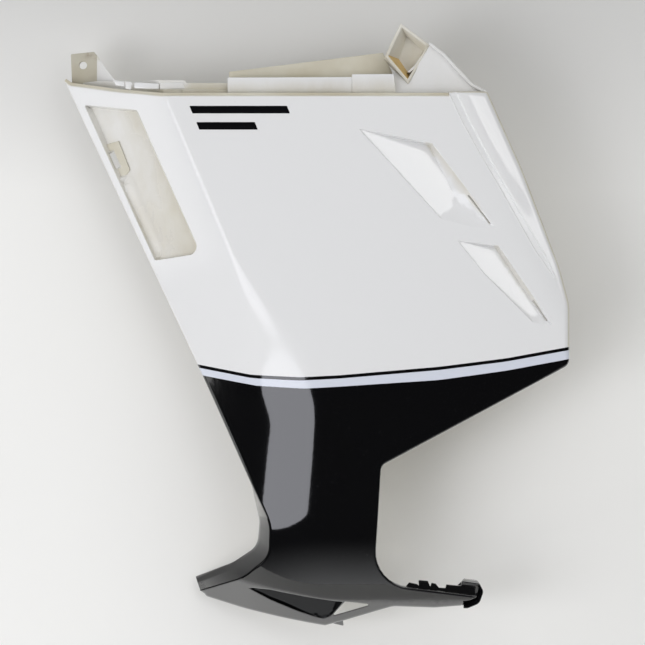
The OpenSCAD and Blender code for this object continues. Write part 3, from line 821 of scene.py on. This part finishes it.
def paints(scene):
    """The finishes, made on first use."""
    if not _made:
        c = scene.front_panel_colours
        _made.update(
            shell=shell_finish("white_shell", c),
            stained=stained_finish("stained_tab", c),
            amber=amber_finish("amber_plastic", c),
            black=lacquer("black_lacquer", c.black, (0.09, 0.09, 0.09), spread=0.25),
            # the arch flange's clear coat grows with height: a painted sheen, lighter at its top
            flange=lacquer("flange_black", c.black, (0.09, 0.09, 0.09), spread=0.25,
                           coat_from=(-0.42, -0.385)),
            # dull black along the wheel arch: a painted shade line
            seam=seam_finish("seam_black"),
            trim=lacquer("stripe_black", c.black, (0.05, 0.05, 0.05), spread=0.25),
            accent=lacquer("accent_black", c.accent, (0.05, 0.05, 0.05), spread=0.25),
            band=lacquer("pale_band", c.band, (0.5, 0.5, 0.48), spread=0.03, coat=0.0))
    return _made


# What the user may change
def length(label, text, value, low, high):
    return bpy.props.FloatProperty(name=label, description=text, default=value, min=low, max=high,
                                   subtype="DISTANCE", unit="LENGTH", precision=4)


def colour(label, text, value):
    return bpy.props.FloatVectorProperty(name=label, description=text, default=value, size=3, min=0, max=1,
                                         subtype="COLOR")


class FRONTPANEL_Sizes(bpy.types.PropertyGroup):
    """Sizes of the dressed panel."""
    film: length("Film thickness", "How far the coloured films stand proud of the shell", 0.00012,
                 0.00005, 0.0003)
    rim_edge: length("Rim edge", "Rounding of the free edges of the rim", 0.00035, 0.0001, 0.001)
    block_edge: length("Block edge", "Rounding of the raised blocks of the top flange", 0.0007, 0.0002,
                       0.0015)
    hole_edge: length("Hole edge", "Rounding of the cut edges of openings", 0.0007, 0.0002, 0.001)
    camera_distance: length("Camera distance", "From the lens to the main face", 1.5, 0.8, 3.0)


class FRONTPANEL_Colours(bpy.types.PropertyGroup):
    """Colours of the finishes and of the sweep."""
    white: colour("Shell", "White lacquer of the shell", (0.82, 0.82, 0.82))
    band: colour("Band", "Pale band between the fine line and the black field", (0.70, 0.73, 0.81))
    bare: colour("Bare plastic", "Unpainted plastic where it is fresh", (0.665, 0.635, 0.535))
    bare_aged: colour("Aged plastic", "Unpainted plastic where it has yellowed", (0.55, 0.50, 0.38))
    amber: colour("Amber plastic", "Unpainted plastic aged deep inside the socket", (0.62, 0.43, 0.16))
    black: colour("Black field", "Black lacquer of the neck and foot", (0.0035, 0.0035, 0.004))
    accent: colour("Accent bars", "Black of the accent bars", (0.004, 0.004, 0.005))
    sweep: colour("Sweep", "Floor and backdrop", (0.93, 0.925, 0.905))


def glow(label, text, value):
    return bpy.props.FloatProperty(name=label, description=text, default=value, min=0, max=20)


class FRONTPANEL_Light(bpy.types.PropertyGroup):
    """Brightness of the lamps, where 1 is white in a mirror."""
    key: glow("Left softbox", "Brightness of the softbox on the left", 2.8)
    window: glow("Left window", "Brightness of the small light at the far left", 1.3)
    right: glow("Right panel", "Brightness of the light at the upper right", 3.7)
    right_fill: glow("Right fill", "Brightness of the fill at the right", 1.25)
    low_left: glow("Low left fill", "Brightness of the fill at the lower left", 2.45)
    fill: glow("Front fill", "Brightness of the fill beside the camera", 0.8)
    room: glow("Room", "Brightness of the room overhead", 0.55)


# Pieces
def inner_side(p):
    """Depth of the back of the shell, whose recesses are wider by the thickness of their walls."""
    return moulding(p, grow=2.2) + WALL


class PieceOperator:
    bl_options = {"REGISTER", "UNDO"}

    def execute(self, context):
        self.make(context.scene, context.scene.front_panel_sizes, paints(context.scene))
        return {"FINISHED"}


def top_roll(p):
    """The outermost turn of the top edge, where the lacquer thins out."""
    return 1 - ease((away(p, TOP_EDGE, False) - 0.6) / 0.9)


def pocket_bare_and_shade(co):
    """Bareness of the face: the pocket, the far walls of the vents, the top edge and the whole back. The
    pocket's cream also holds painted shade by its right wall.
    """
    p = co[:, [0, 2]]
    inner = ease(depth_in(p, WINDOW) / 1.5 + 0.3)
    lower = ease((-co[:, 2] - 70) / 95)
    right = ease((co[:, 0] - (2.4 + (-34.4 - co[:, 2]) * 0.456) - 22) / 22)
    # pocket floor of bare cream plastic, creamier towards its bottom, and towards its right wall as painted
    # shade
    field = inner * (0.4 + 0.2 * lower + 0.25 * right)
    walls = np.zeros(len(p))
    for shape, lines, width in ((VENT_UP, VENT_UP_LINES, 3.9), (VENT_LOW, VENT_LOW_LINES, 2.8)):
        right = from_line(p, *lines[3])
        above = p[:, 1] - lines[2][1][1] + 12
        near = ease(right / 0.5) * ease((width + 0.5 - right) / 0.8) * ease(above / 14)
        walls = np.maximum(walls, np.where(depth_in(p, shape) > -0.2, near, 0))
    behind = ease((co[:, 1] - moulding(p) - 0.7) / 0.8)
    return np.maximum(np.maximum(field, 0.45 * walls), np.maximum(behind, top_roll(p)))


class FRONTPANEL_OT_shell(PieceOperator, bpy.types.Operator):
    """Moulded face with its crease, shoulder roll, window pocket, vents, groove and leaf recess"""
    bl_idname = "front_panel.shell"
    bl_label = "Moulded face"

    def make(self, scene, sizes, mats):
        deep_lines = [np.array(v[2]) for v in (VENT_UP_LINES, VENT_LOW_LINES)]
        obj = curved_sheet("shell_face", OUTLINE, [GAP, SLOT_UP, SLOT_LOW, CLIP_SLOT], moulding, inner_side,
                           edge_radius, sizes.hole_edge / MM, grid_points(),
                           marks=[WINDOW, VENT_UP, VENT_LOW, LEAF, GROOVE],
                           lines=[PIN_LINE, BLACK_LINE, *deep_lines])
        mark_bare_and_painted_light(obj, pocket_bare_and_shade)
        dress(obj, "white_shell", [mats["shell"], mats["band"], mats["black"]])

        def rule(mid, nor):
            low = mid[:, 2] < line_z(BLACK_LINE, mid[:, 0])
            between = (mid[:, 2] < line_z(PIN_LINE, mid[:, 0])) & ~low
            outer = nor[:, 1] < 0.3
            return np.where(low & outer, 2, np.where(between & outer, 1, 0))
        paint(obj, rule)


def rim_runs():
    """Stretches of the outline that carry the return rim, as matching outer and inner paths."""
    loop = dense(OUTLINE, 3.5)
    n = inward(loop)
    a, b = loop + n * RIM_INSET, loop + n * (RIM_INSET + RIM_WALL)
    good = (away(b, loop) > (RIM_INSET + RIM_WALL) * 0.93) & inside(b, loop)
    use = ~inside(a, ARCH_ZONE) & ~inside(a, GAP)
    start = int(np.argmin(use))
    order = np.roll(np.arange(len(loop)), -start)
    runs, run = [], []
    for i in order:
        if use[i]:
            run.append(i)
        elif run:
            runs.append(run)
            run = []
    if run:
        runs.append(run)
    for run in runs:
        if len(run) < 3:
            continue
        ok = [k for k, i in enumerate(run) if good[i]]
        inner = b[run].copy()
        for k in range(len(run)):
            if k not in ok:
                before = [j for j in ok if j < k][-1:] or ok[:1]
                after = [j for j in ok if j > k][:1] or ok[-1:]
                inner[k] = (b[run[before[0]]] + b[run[after[0]]]) / 2
        yield a[run], inner


class FRONTPANEL_OT_rim(PieceOperator, bpy.types.Operator):
    """Return rim behind the edge of the face, deeper along the top"""
    bl_idname = "front_panel.rim"
    bl_label = "Return rim"

    def make(self, scene, sizes, mats):
        for i, (outer, inner) in enumerate(rim_runs()):
            base = face(outer[:, 0], outer[:, 1])
            depth = np.where(outer[:, 1] > TOP_RIM_Z, TOP_RIM_DEPTH, RIM_DEPTH)
            obj = wall_strip(f"rim_{i + 1}", outer, inner, base + 2.2, base + depth, edge=sizes.rim_edge / MM)
            mark_bare_and_painted_light(obj, lambda co: np.where(co[:, 2] > TOP_RIM_Z, 0.75, 0.85))
            dress(obj, "white_shell", [mats["shell"], mats["black"]])

            def rule(mid, nor):
                p = mid[:, [0, 2]]
                outward = (away(p, OUTLINE) < RIM_INSET + 0.4) & (mid[:, 2] < line_z(BLACK_LINE, mid[:, 0]))
                return np.where(outward, 1, 0)
            paint(obj, rule)


def sheet_piece(name, shape, fore, aft, holes=(), roll=0.5):
    """Sheet that follows the face, from fore to aft behind it."""
    pts = grid_points()
    pts = pts[np.all((pts > shape.min(axis=0)) & (pts < shape.max(axis=0)), axis=1)]
    return curved_sheet(name, shape, list(holes), lambda p: face(*p.T) + fore, lambda p: face(*p.T) + aft,
                        lambda x, z: np.full(len(x), roll), 0.4, pts, step=2.0)


class FRONTPANEL_OT_top_flange(PieceOperator, bpy.types.Operator):
    """Top flange with its steps, lower rail and rear plate"""
    bl_idname = "front_panel.top_flange"
    bl_label = "Top flange"

    def make(self, scene, sizes, mats):
        back = FLANGE_Y - FACE_Y
        obj = sheet_piece("top_flange", FLANGE, back, back + WALL)
        # the flange's lower part turns cream, partly bare plastic and partly painted shade where the face's
        # top edge shades it
        mark_bare_and_painted_light(obj, lambda co: 0.25 + 0.5 * ease((co[:, 0] - 88) / 6) + 0.6 * ease((-co[:, 2] - 23) / 4))
        dress(obj, "white_shell", mats["shell"])
        path = dense(TOP_EDGE, 3.0, False)
        base = face(path[:, 0], path[:, 1])
        obj = wall_strip("top_lip", beside(path, 1.7), beside(path, -0.6), base + 6, base + 1.2, edge=0.6)
        mark_bare_and_painted_light(obj, lambda co: np.full(len(co), 1.0))
        dress(obj, "white_shell", mats["shell"])
        edge = sizes.block_edge / MM
        for name, shape, y0, y1, bare in (
                ("flange_rail", RAIL, FLANGE_Y - 2, FLANGE_Y + WALL, 0.7),
                ("flange_plate", BACK_PLATE, FLANGE_Y, FLANGE_Y + WALL, 0.4),
                ("flange_step", [(47.4, -20.2), (67.3, -21.2), (67.3, -25.8), (47.4, -25)], FLANGE_Y - 1.3,
                 FLANGE_Y + 1, 0.0),
                ("flange_pad", [(67.9, -20.6), (86.6, -20.2), (88.3, -25.4), (67.9, -25.8)], FLANGE_Y - 0.8,
                 FLANGE_Y + 1, 0.12),
                ("flange_clip", [(40.2, -19.5), (44.4, -19.6), (45.8, -21), (44.6, -26), (40.2, -25.4)],
                 FLANGE_Y - 1.0, FLANGE_Y + 2, 0.1),
                ("flange_strip", [(30.2, -18.2), (39.4, -19.4), (39.4, -23.4), (32.5, -22.6)],
                 FLANGE_Y - 0.7, FLANGE_Y + 2, 0.05)):
            obj = block(name, shape, y0, y1, edge)
            mark_bare_and_painted_light(obj, lambda co, v=bare: v + 0.3 * ease((-co[:, 2] - 24) / 5))
            dress(obj, "white_shell", mats["shell"])


class FRONTPANEL_OT_boxes(PieceOperator, bpy.types.Operator):
    """Raised box in two steps, open behind, and the sloping ledge above it"""
    bl_idname = "front_panel.boxes"
    bl_label = "Raised box and ledge"

    def make(self, scene, sizes, mats):
        edge = sizes.block_edge / MM
        for name, shape, rise in (("box_long", BOX_LONG, 7.0), ("box_short", BOX_SHORT, 7.6)):
            obj = block(name, shape, FLANGE_Y - rise, FLANGE_Y + WALL, edge, hollow=(RIM_WALL, RIM_WALL))
            mark_bare_and_painted_light(obj, lambda co: np.maximum(ease((co[:, 1] + 50) / 4),
                                                 0.7 * ease((-co[:, 2] - 27.5) / 2.5)))
            dress(obj, "white_shell", mats["shell"])
        for name, shape, y0, y1 in (("ledge", LEDGE, LEDGE_Y, LEDGE_Y + RIM_WALL),
                                    ("ledge_step", LEDGE_STEP, FLANGE_Y, LEDGE_Y + RIM_WALL)):
            obj = block(name, shape, y0, y1, edge)
            mark_bare_and_painted_light(obj, lambda co: np.full(len(co), 1.0))
            dress(obj, "white_shell", mats["shell"])


class FRONTPANEL_OT_web(PieceOperator, bpy.types.Operator):
    """Web at the rear of the flange with its beaded edge"""
    bl_idname = "front_panel.web"
    bl_label = "Beaded web"

    def make(self, scene, sizes, mats):
        obj = block("web_plate", WEB, FLANGE_Y, FLANGE_Y + WALL, 0.6)
        mark_bare_and_painted_light(obj, lambda co: 0.1 + 0.85 * ease((co[:, 1] - FLANGE_Y - 1) / 1.5))
        dress(obj, "white_shell", mats["shell"])
        path = dense(rounded_open(WEB_EDGE, 6), 2.0, False)
        obj = wall_strip("web_bead", path, beside(path, -2.4), FLANGE_Y + 1, FLANGE_Y - 3, edge=0.7)
        bevel(obj, 0.3)
        mark_bare_and_painted_light(obj, lambda co: np.full(len(co), 0.1))
        dress(obj, "white_shell", mats["shell"])


class FRONTPANEL_OT_socket(PieceOperator, bpy.types.Operator):
    """Open socket that stands askew at the top of the web"""
    bl_idname = "front_panel.socket"
    bl_label = "Top socket"

    def make(self, scene, sizes, mats):
        _, _, low, left = SOCKET
        obj = block("top_socket", SOCKET, FLANGE_Y + SOCKET_SINK, FLANGE_Y - SOCKET_RISE, 0.5,
                    (RIM_WALL, RIM_WALL), ((270.5, 2.6), 0.62, 0.8))
        for v in obj.data.vertices:
            if v.co.y < (FLANGE_Y + 2) * MM:
                v.co.y += SOCKET_LEAN * max(0, v.co.x - left[0] * MM)
        mark_bare_and_painted_light(obj, lambda co: np.full(len(co), 0.75))
        dress(obj, "white_shell", [mats["shell"], mats["amber"]])
        low_left = unit(np.array([left[1] - low[1], low[0] - left[0]]))

        def rule(mid, nor):
            within = depth_in(mid[:, [0, 2]], SOCKET) > RIM_WALL * 0.8
            return np.where(within & (nor[:, [0, 2]] @ low_left > 0.55), 1, 0)
        paint(obj, rule)
        rib = [(268.2, -11.4), (269.8, -12.2), (275.5, -7.4), (280.4, 0.2), (279, 1.2), (274.2, -6.2)]
        obj = block("socket_rib", rib, FLANGE_Y + 11, FLANGE_Y + 1, 0.4)
        # nearly white rib: a painted highlight along its lit edge
        mark_bare_and_painted_light(obj, lambda co: np.full(len(co), 0.1))
        dress(obj, "white_shell", mats["shell"])


class FRONTPANEL_OT_upper_tab(PieceOperator, bpy.types.Operator):
    """Upper tab with its screw hole and the curved wall that braces it"""
    bl_idname = "front_panel.upper_tab"
    bl_label = "Upper tab"

    def make(self, scene, sizes, mats):
        turn = np.linspace(0, 2 * math.pi, 65)[:-1]
        ring = HOLE_R * np.stack([np.cos(turn), np.sin(turn)], 1)
        flat = np.stack([g.ravel() for g in np.meshgrid(np.arange(-12., 40, 3), np.arange(-24., 12, 3))], 1)
        obj = curved_sheet("upper_tab", TAB, [ring], lambda p: np.zeros(len(p)),
                           lambda p: np.full(len(p), WALL), lambda x, z: np.full(len(x), 0.5), 0.35, flat,
                           step=2.0)
        dress(obj, "white_shell", mats["stained"])
        shape = np.concatenate([rounded_open(BRACE), [(41, -23), (BRACE_AT, -23), (BRACE_AT, 8.4)]])[1:]
        lean = math.tan(math.radians(BRACE_TURN))
        deep = RIM_WALL / math.cos(math.radians(BRACE_TURN))
        obj = curved_sheet("tab_brace", shape, [], lambda p: -(p[:, 0] - BRACE_AT) * lean,
                           lambda p: deep - (p[:, 0] - BRACE_AT) * lean,
                           lambda x, z: np.full(len(x), 0.4), 0.35, flat, step=1.5)
        mark_bare_and_painted_light(obj, lambda co: 0.1 + 0.5 * ease((co[:, 2] - 2) / 5))
        dress(obj, "white_shell", mats["shell"])


class FRONTPANEL_OT_clip_frame(PieceOperator, bpy.types.Operator):
    """Raised frame round the clip slot on the pocket floor"""
    bl_idname = "front_panel.clip_frame"
    bl_label = "Clip frame"

    def make(self, scene, sizes, mats):
        obj = sheet_piece("clip_frame", CLIP_FRAME, POCKET_DEPTH - 1.6, POCKET_DEPTH + 1.5, holes=[CLIP_SLOT])
        mark_bare_and_painted_light(obj, lambda co: np.full(len(co), 0.97))
        dress(obj, "white_shell", mats["shell"])


def crossed(name, a, b, t, across=6):
    """Band from the path a to the path b, t thick straight back, with a slight swell between them."""
    n = len(a)
    rows = []
    for k in range(across + 1):
        s = k / across
        row = a + (b - a) * s
        row[:, 1] -= 0.9 * math.sin(math.pi * s)
        rows.append(row)
    front = np.concatenate(rows)
    verts = np.concatenate([front, front + [0, t, 0]])
    m, k1 = len(front), across + 1
    faces = []
    for r in range(across):
        for i in range(n - 1):
            p = r * n + i
            faces += [[p, p + 1, p + n + 1, p + n], [m + p, m + p + n, m + p + n + 1, m + p + 1]]
    faces += [[i, m + i, m + i + 1, i + 1] for i in range(n - 1)]
    last = (k1 - 1) * n
    faces += [[last + i, last + i + 1, m + last + i + 1, m + last + i] for i in range(n - 1)]
    for r in range(across):
        p, q = r * n, r * n + n - 1
        faces += [[p, p + n, m + p + n, m + p], [q, m + q, m + q + n, q + n]]
    obj = new_piece(name, verts, faces)
    face_out(obj)
    bevel(obj, 0.4, 50)
    return obj


class FRONTPANEL_OT_arch_flange(PieceOperator, bpy.types.Operator):
    """Slanting flange along the wheel arch"""
    bl_idname = "front_panel.arch_flange"
    bl_label = "Arch flange"

    def make(self, scene, sizes, mats):
        line, edge = rounded_open(ARCH_LINE), rounded_open(ARCH_EDGE)
        x, z = line[:, 0] + 0.9, line[:, 1] - 0.9
        near = np.stack([x, face(x, z) + 0.8, z], 1)
        far = np.stack([edge[:, 0], face(*edge.T) + ARCH_DEPTH, edge[:, 1]], 1)
        obj = crossed("arch_flange", near, far, WALL)
        dress(obj, "black_coat", mats["flange"])


class FRONTPANEL_OT_foot_end(PieceOperator, bpy.types.Operator):
    """Toothed flange, curled end and small lower tab of the foot"""
    bl_idname = "front_panel.foot_end"
    bl_label = "Foot end"

    def make(self, scene, sizes, mats):
        dress(sheet_piece("foot_teeth", TEETH, TEETH_BACK, TEETH_BACK + RIM_WALL, roll=0.4), "black_coat",
              mats["black"])
        loop = dense(CURL, 1.2)
        away_in = loop + inward(loop) * RIM_WALL
        use = loop[:, 0] > 313
        start = int(np.argmin(use))
        order = [i for i in np.roll(np.arange(len(loop)), -start) if use[i]]
        back = CURL_Y + CURL_DEPTH
        dress(wall_strip("curl_wall", loop[order], away_in[order], back - 1, CURL_Y, edge=0.5),
              "black_coat", mats["black"])
        dress(block("curl_floor", CURL, back - RIM_WALL, back, 0.4), "black_coat", mats["black"])
        dress(sheet_piece("small_tab", SMALL_TAB, 1, 1 + WALL, roll=0.6), "black_coat", mats["black"])


def film(name, mats_key, node, slot_name, scene, keep, holes=(), marks=(), lines=()):
    """Thin coloured sheet on the face, where keep says."""
    sizes, mats = scene.front_panel_sizes, paints(scene)
    lift = sizes.film / MM
    obj = curved_sheet(name, OUTLINE, list(holes), lambda p: moulding(p) - lift,
                       lambda p: moulding(p) + FILM_BACK, edge_radius, sizes.hole_edge / MM, grid_points(),
                       marks, lines, keep)
    return dress(obj, slot_name, mats[mats_key], node)


def along_arch(mid, nor):
    """Finish 1, the dull black painted shade line, in the narrow turn at the edge of the wheel arch, 0
    elsewhere.
    """
    line = rounded_open(ARCH_LINE)[:-3]
    return np.where(away(mid[:, [0, 2]], line, False) < 1.0, 1, 0)


class FRONTPANEL_OT_black_coat(PieceOperator, bpy.types.Operator):
    """Black lacquer over the neck and foot"""
    bl_idname = "front_panel.black_coat"
    bl_label = "Black field"

    def make(self, scene, sizes, mats):
        obj = film("lower_black", "black", "lower_black_coat", "black_coat", scene,
                   lambda p: p[:, 1] < line_z(BLACK_LINE, p[:, 0]), [GAP], [LEAF], [BLACK_LINE])
        # the narrow turn along the arch gets the dull black painted shade line
        obj.data.materials.append(mats["seam"])
        paint(obj, along_arch)


class FRONTPANEL_OT_stripes(PieceOperator, bpy.types.Operator):
    """Fine black line above the black field, and the plain accent bars"""
    bl_idname = "front_panel.stripes"
    bl_label = "Fine line and bars"

    def make(self, scene, sizes, mats):
        lower = PIN_LINE - [0, PIN_W]
        film("fine_line", "trim", "pinstripe", "stripe_film", scene,
             lambda p: (p[:, 1] < line_z(PIN_LINE, p[:, 0])) & (p[:, 1] > line_z(lower, p[:, 0])),
             (), (), [PIN_LINE, lower])
        lean = BAR_LEAN * BAR_W
        next_at = BAR_AT + [BAR_LEAN * BAR_PITCH, -BAR_PITCH]
        for i, (at, run) in enumerate(((BAR_AT, BAR_RUN), (next_at, BAR_RUN * BAR_SHORT))):
            corners = [(0, 0, 0.5), (run, 0, 0.5), (run + lean, -BAR_W, 0.5), (lean, -BAR_W, 0.5)]
            shape = rounded(corners, 4) + at
            obj = block(f"accent_bar_{i + 1}", shape, FACE_Y - sizes.film / MM, FACE_Y + FILM_BACK, 0)
            dress(obj, "accent_film", mats["accent"], "accent_bars")


# Stage, in metres
DARK_ROOM, FLOOR_GLOW = 0.015, 0.95
FRAME_HEIGHT, SENSOR = 0.516, 36.0


def soft_light(name, at, aim, width, height, glow, tint=(1, 1, 1), gloss=True, round_ends=False, roll=0.0,
               spread=True):
    """Flat lamp that faces aim. glow is its brightness, at which a mirror would show it.

    gloss and spread say whether it shows in reflections and whether it lights matt surfaces."""
    data = bpy.data.lights.new(name, "AREA")
    data.shape, data.size, data.size_y = "ELLIPSE" if round_ends else "RECTANGLE", width, height
    data.color = tint
    data.energy = math.pi * width * height * glow * (math.pi / 4 if round_ends else 1)
    lamp = bpy.data.objects.new(name, data)
    bpy.context.scene.collection.objects.link(lamp)
    lamp.location = at
    lamp.rotation_euler = (Vector(aim) - Vector(at)).to_track_quat("-Z", "Y").to_euler()
    lamp.rotation_euler.rotate_axis("Z", roll)
    lamp.visible_glossy = gloss
    lamp.visible_diffuse = spread


def room_light(strength):
    """Pale room above and below, dark in the band at the height of the camera."""
    world = bpy.context.scene.world or bpy.data.worlds.new("room")
    bpy.context.scene.world = world
    world.use_nodes = True
    b = Board(world.node_tree)
    way = b.add("ShaderNodeTexCoord").outputs["Generated"]
    part = b.add("ShaderNodeSeparateXYZ", Vector=way)
    above = b.stretch(part.outputs["Z"], 0.30, 0.55, 0.0, strength)
    down = b.stretch(part.outputs["Z"], -0.40, -0.90, 0.0, 1.0)
    below = b.math("MULTIPLY", b.math("POWER", down, 2.0), FLOOR_GLOW)
    level = b.math("ADD", b.math("ADD", above, below), DARK_ROOM)
    shade = b.add("ShaderNodeBackground", Color=(0.97, 0.985, 1.0, 1), Strength=level)
    out = b.add("ShaderNodeOutputWorld")
    b.link(shade.outputs[0], out.inputs["Surface"])


MIDDLE = Vector((0.1995, 0.0, -0.2143))
SWEEP_BACK, SWEEP_FLOOR, SWEEP_FRONT = 0.045, -0.95, -0.36
SWEEP_HALF, SWEEP_TOP, SWEEP_FILLET = 1.3, 1.7, 0.06


class FRONTPANEL_OT_stage(bpy.types.Operator):
    """Pale sweep, soft studio light and the camera at the photograph's angle"""
    bl_idname = "front_panel.stage"
    bl_label = "Stage"
    bl_options = {"REGISTER", "UNDO"}

    def execute(self, context):
        scene = context.scene
        colours, light, sizes = scene.front_panel_colours, scene.front_panel_light, scene.front_panel_sizes
        side = [(SWEEP_BACK, SWEEP_TOP)]
        for a in np.linspace(0, math.pi / 2, 10):
            side.append((SWEEP_BACK - SWEEP_FILLET * (1 - math.cos(a)),
                         SWEEP_FLOOR + SWEEP_FILLET * (1 - math.sin(a))))
        side.append((SWEEP_FRONT, SWEEP_FLOOR))
        mesh = bpy.data.meshes.new("sweep")
        verts = [(MIDDLE.x + sx * SWEEP_HALF, y, z) for sx in (-1, 1) for y, z in side]
        n = len(side)
        mesh.from_pydata(verts, [], [(i, i + 1, n + i + 1, n + i) for i in range(n - 1)])
        sweep = bpy.data.objects.new("sweep", mesh)
        scene.collection.objects.link(sweep)
        only(sweep)
        bpy.ops.object.shade_smooth()
        mesh.materials.append(backdrop_finish(colours.sweep))
        aim = MIDDLE + Vector((0, -0.05, 0))
        soft_light("left_softbox", (-0.709, -1.303, -0.45), (0.13, -0.06, -0.45), 1.32, 0.6, light.key,
                   (0.92, 0.93, 1.0), round_ends=True, roll=math.radians(20))
        soft_light("left_window", (-1.03, -0.19, -0.40), (0.06, -0.03, -0.1), 0.28, 0.3, light.window)
        soft_light("right_panel", (1.325, -1.085, 0.56), aim, 1.16, 0.7, light.right, spread=False)
        soft_light("right_fill", (1.35, -1.5, 0.1), aim, 1.6, 1.6, light.right_fill, gloss=False)
        soft_light("low_left_fill", (-1.15, -1.3, -0.75), aim, 1.5, 1.2, light.low_left, gloss=False)
        soft_light("front_fill", (0.2, -1.75, 0.25), aim, 1.5, 1.5, light.fill, gloss=False)
        room_light(light.room)
        cam = bpy.data.cameras.new("camera")
        cam.sensor_width, cam.lens = SENSOR, SENSOR * sizes.camera_distance / FRAME_HEIGHT
        cam.clip_start, cam.clip_end = 0.05, 20
        camera = bpy.data.objects.new("camera", cam)
        camera.location = (MIDDLE.x, FACE_Y * MM - sizes.camera_distance, MIDDLE.z)
        camera.rotation_euler = (math.pi / 2, 0, 0)
        scene.collection.objects.link(camera)
        scene.camera = camera
        scene.view_settings.view_transform = "Standard"
        return {"FINISHED"}


STEPS = (FRONTPANEL_OT_shell, FRONTPANEL_OT_rim, FRONTPANEL_OT_top_flange, FRONTPANEL_OT_boxes,
         FRONTPANEL_OT_web, FRONTPANEL_OT_socket, FRONTPANEL_OT_upper_tab, FRONTPANEL_OT_clip_frame,
         FRONTPANEL_OT_arch_flange, FRONTPANEL_OT_foot_end, FRONTPANEL_OT_black_coat, FRONTPANEL_OT_stripes,
         FRONTPANEL_OT_stage)
GROUPS = (("front_panel_sizes", FRONTPANEL_Sizes), ("front_panel_colours", FRONTPANEL_Colours),
          ("front_panel_light", FRONTPANEL_Light))


class FRONTPANEL_PT_sidebar(bpy.types.Panel):
    """Lists the pieces, their sizes and their colours"""
    bl_idname = "FRONTPANEL_PT_sidebar"
    bl_label = "Scooter front panel"
    bl_space_type = "VIEW_3D"
    bl_region_type = "UI"
    bl_category = "Panel"

    def draw(self, context):
        column = self.layout.column()
        for step in STEPS:
            column.operator(step.bl_idname)
        for name, _ in GROUPS:
            settings = getattr(context.scene, name)
            for key in settings.bl_rna.properties.keys():
                if key not in {"rna_type", "name"}:
                    column.prop(settings, key)


def register():
    for name, kind in GROUPS:
        bpy.utils.register_class(kind)
        setattr(bpy.types.Scene, name, bpy.props.PointerProperty(type=kind))
    for kind in (*STEPS, FRONTPANEL_PT_sidebar):
        bpy.utils.register_class(kind)


def unregister():
    for kind in (FRONTPANEL_PT_sidebar, *reversed(STEPS)):
        bpy.utils.unregister_class(kind)
    for name, kind in reversed(GROUPS):
        delattr(bpy.types.Scene, name)
        bpy.utils.unregister_class(kind)


def main():
    register()
    for step in STEPS:
        getattr(bpy.ops.front_panel, step.bl_idname.split(".")[1])()


if __name__ == "__main__":
    main()
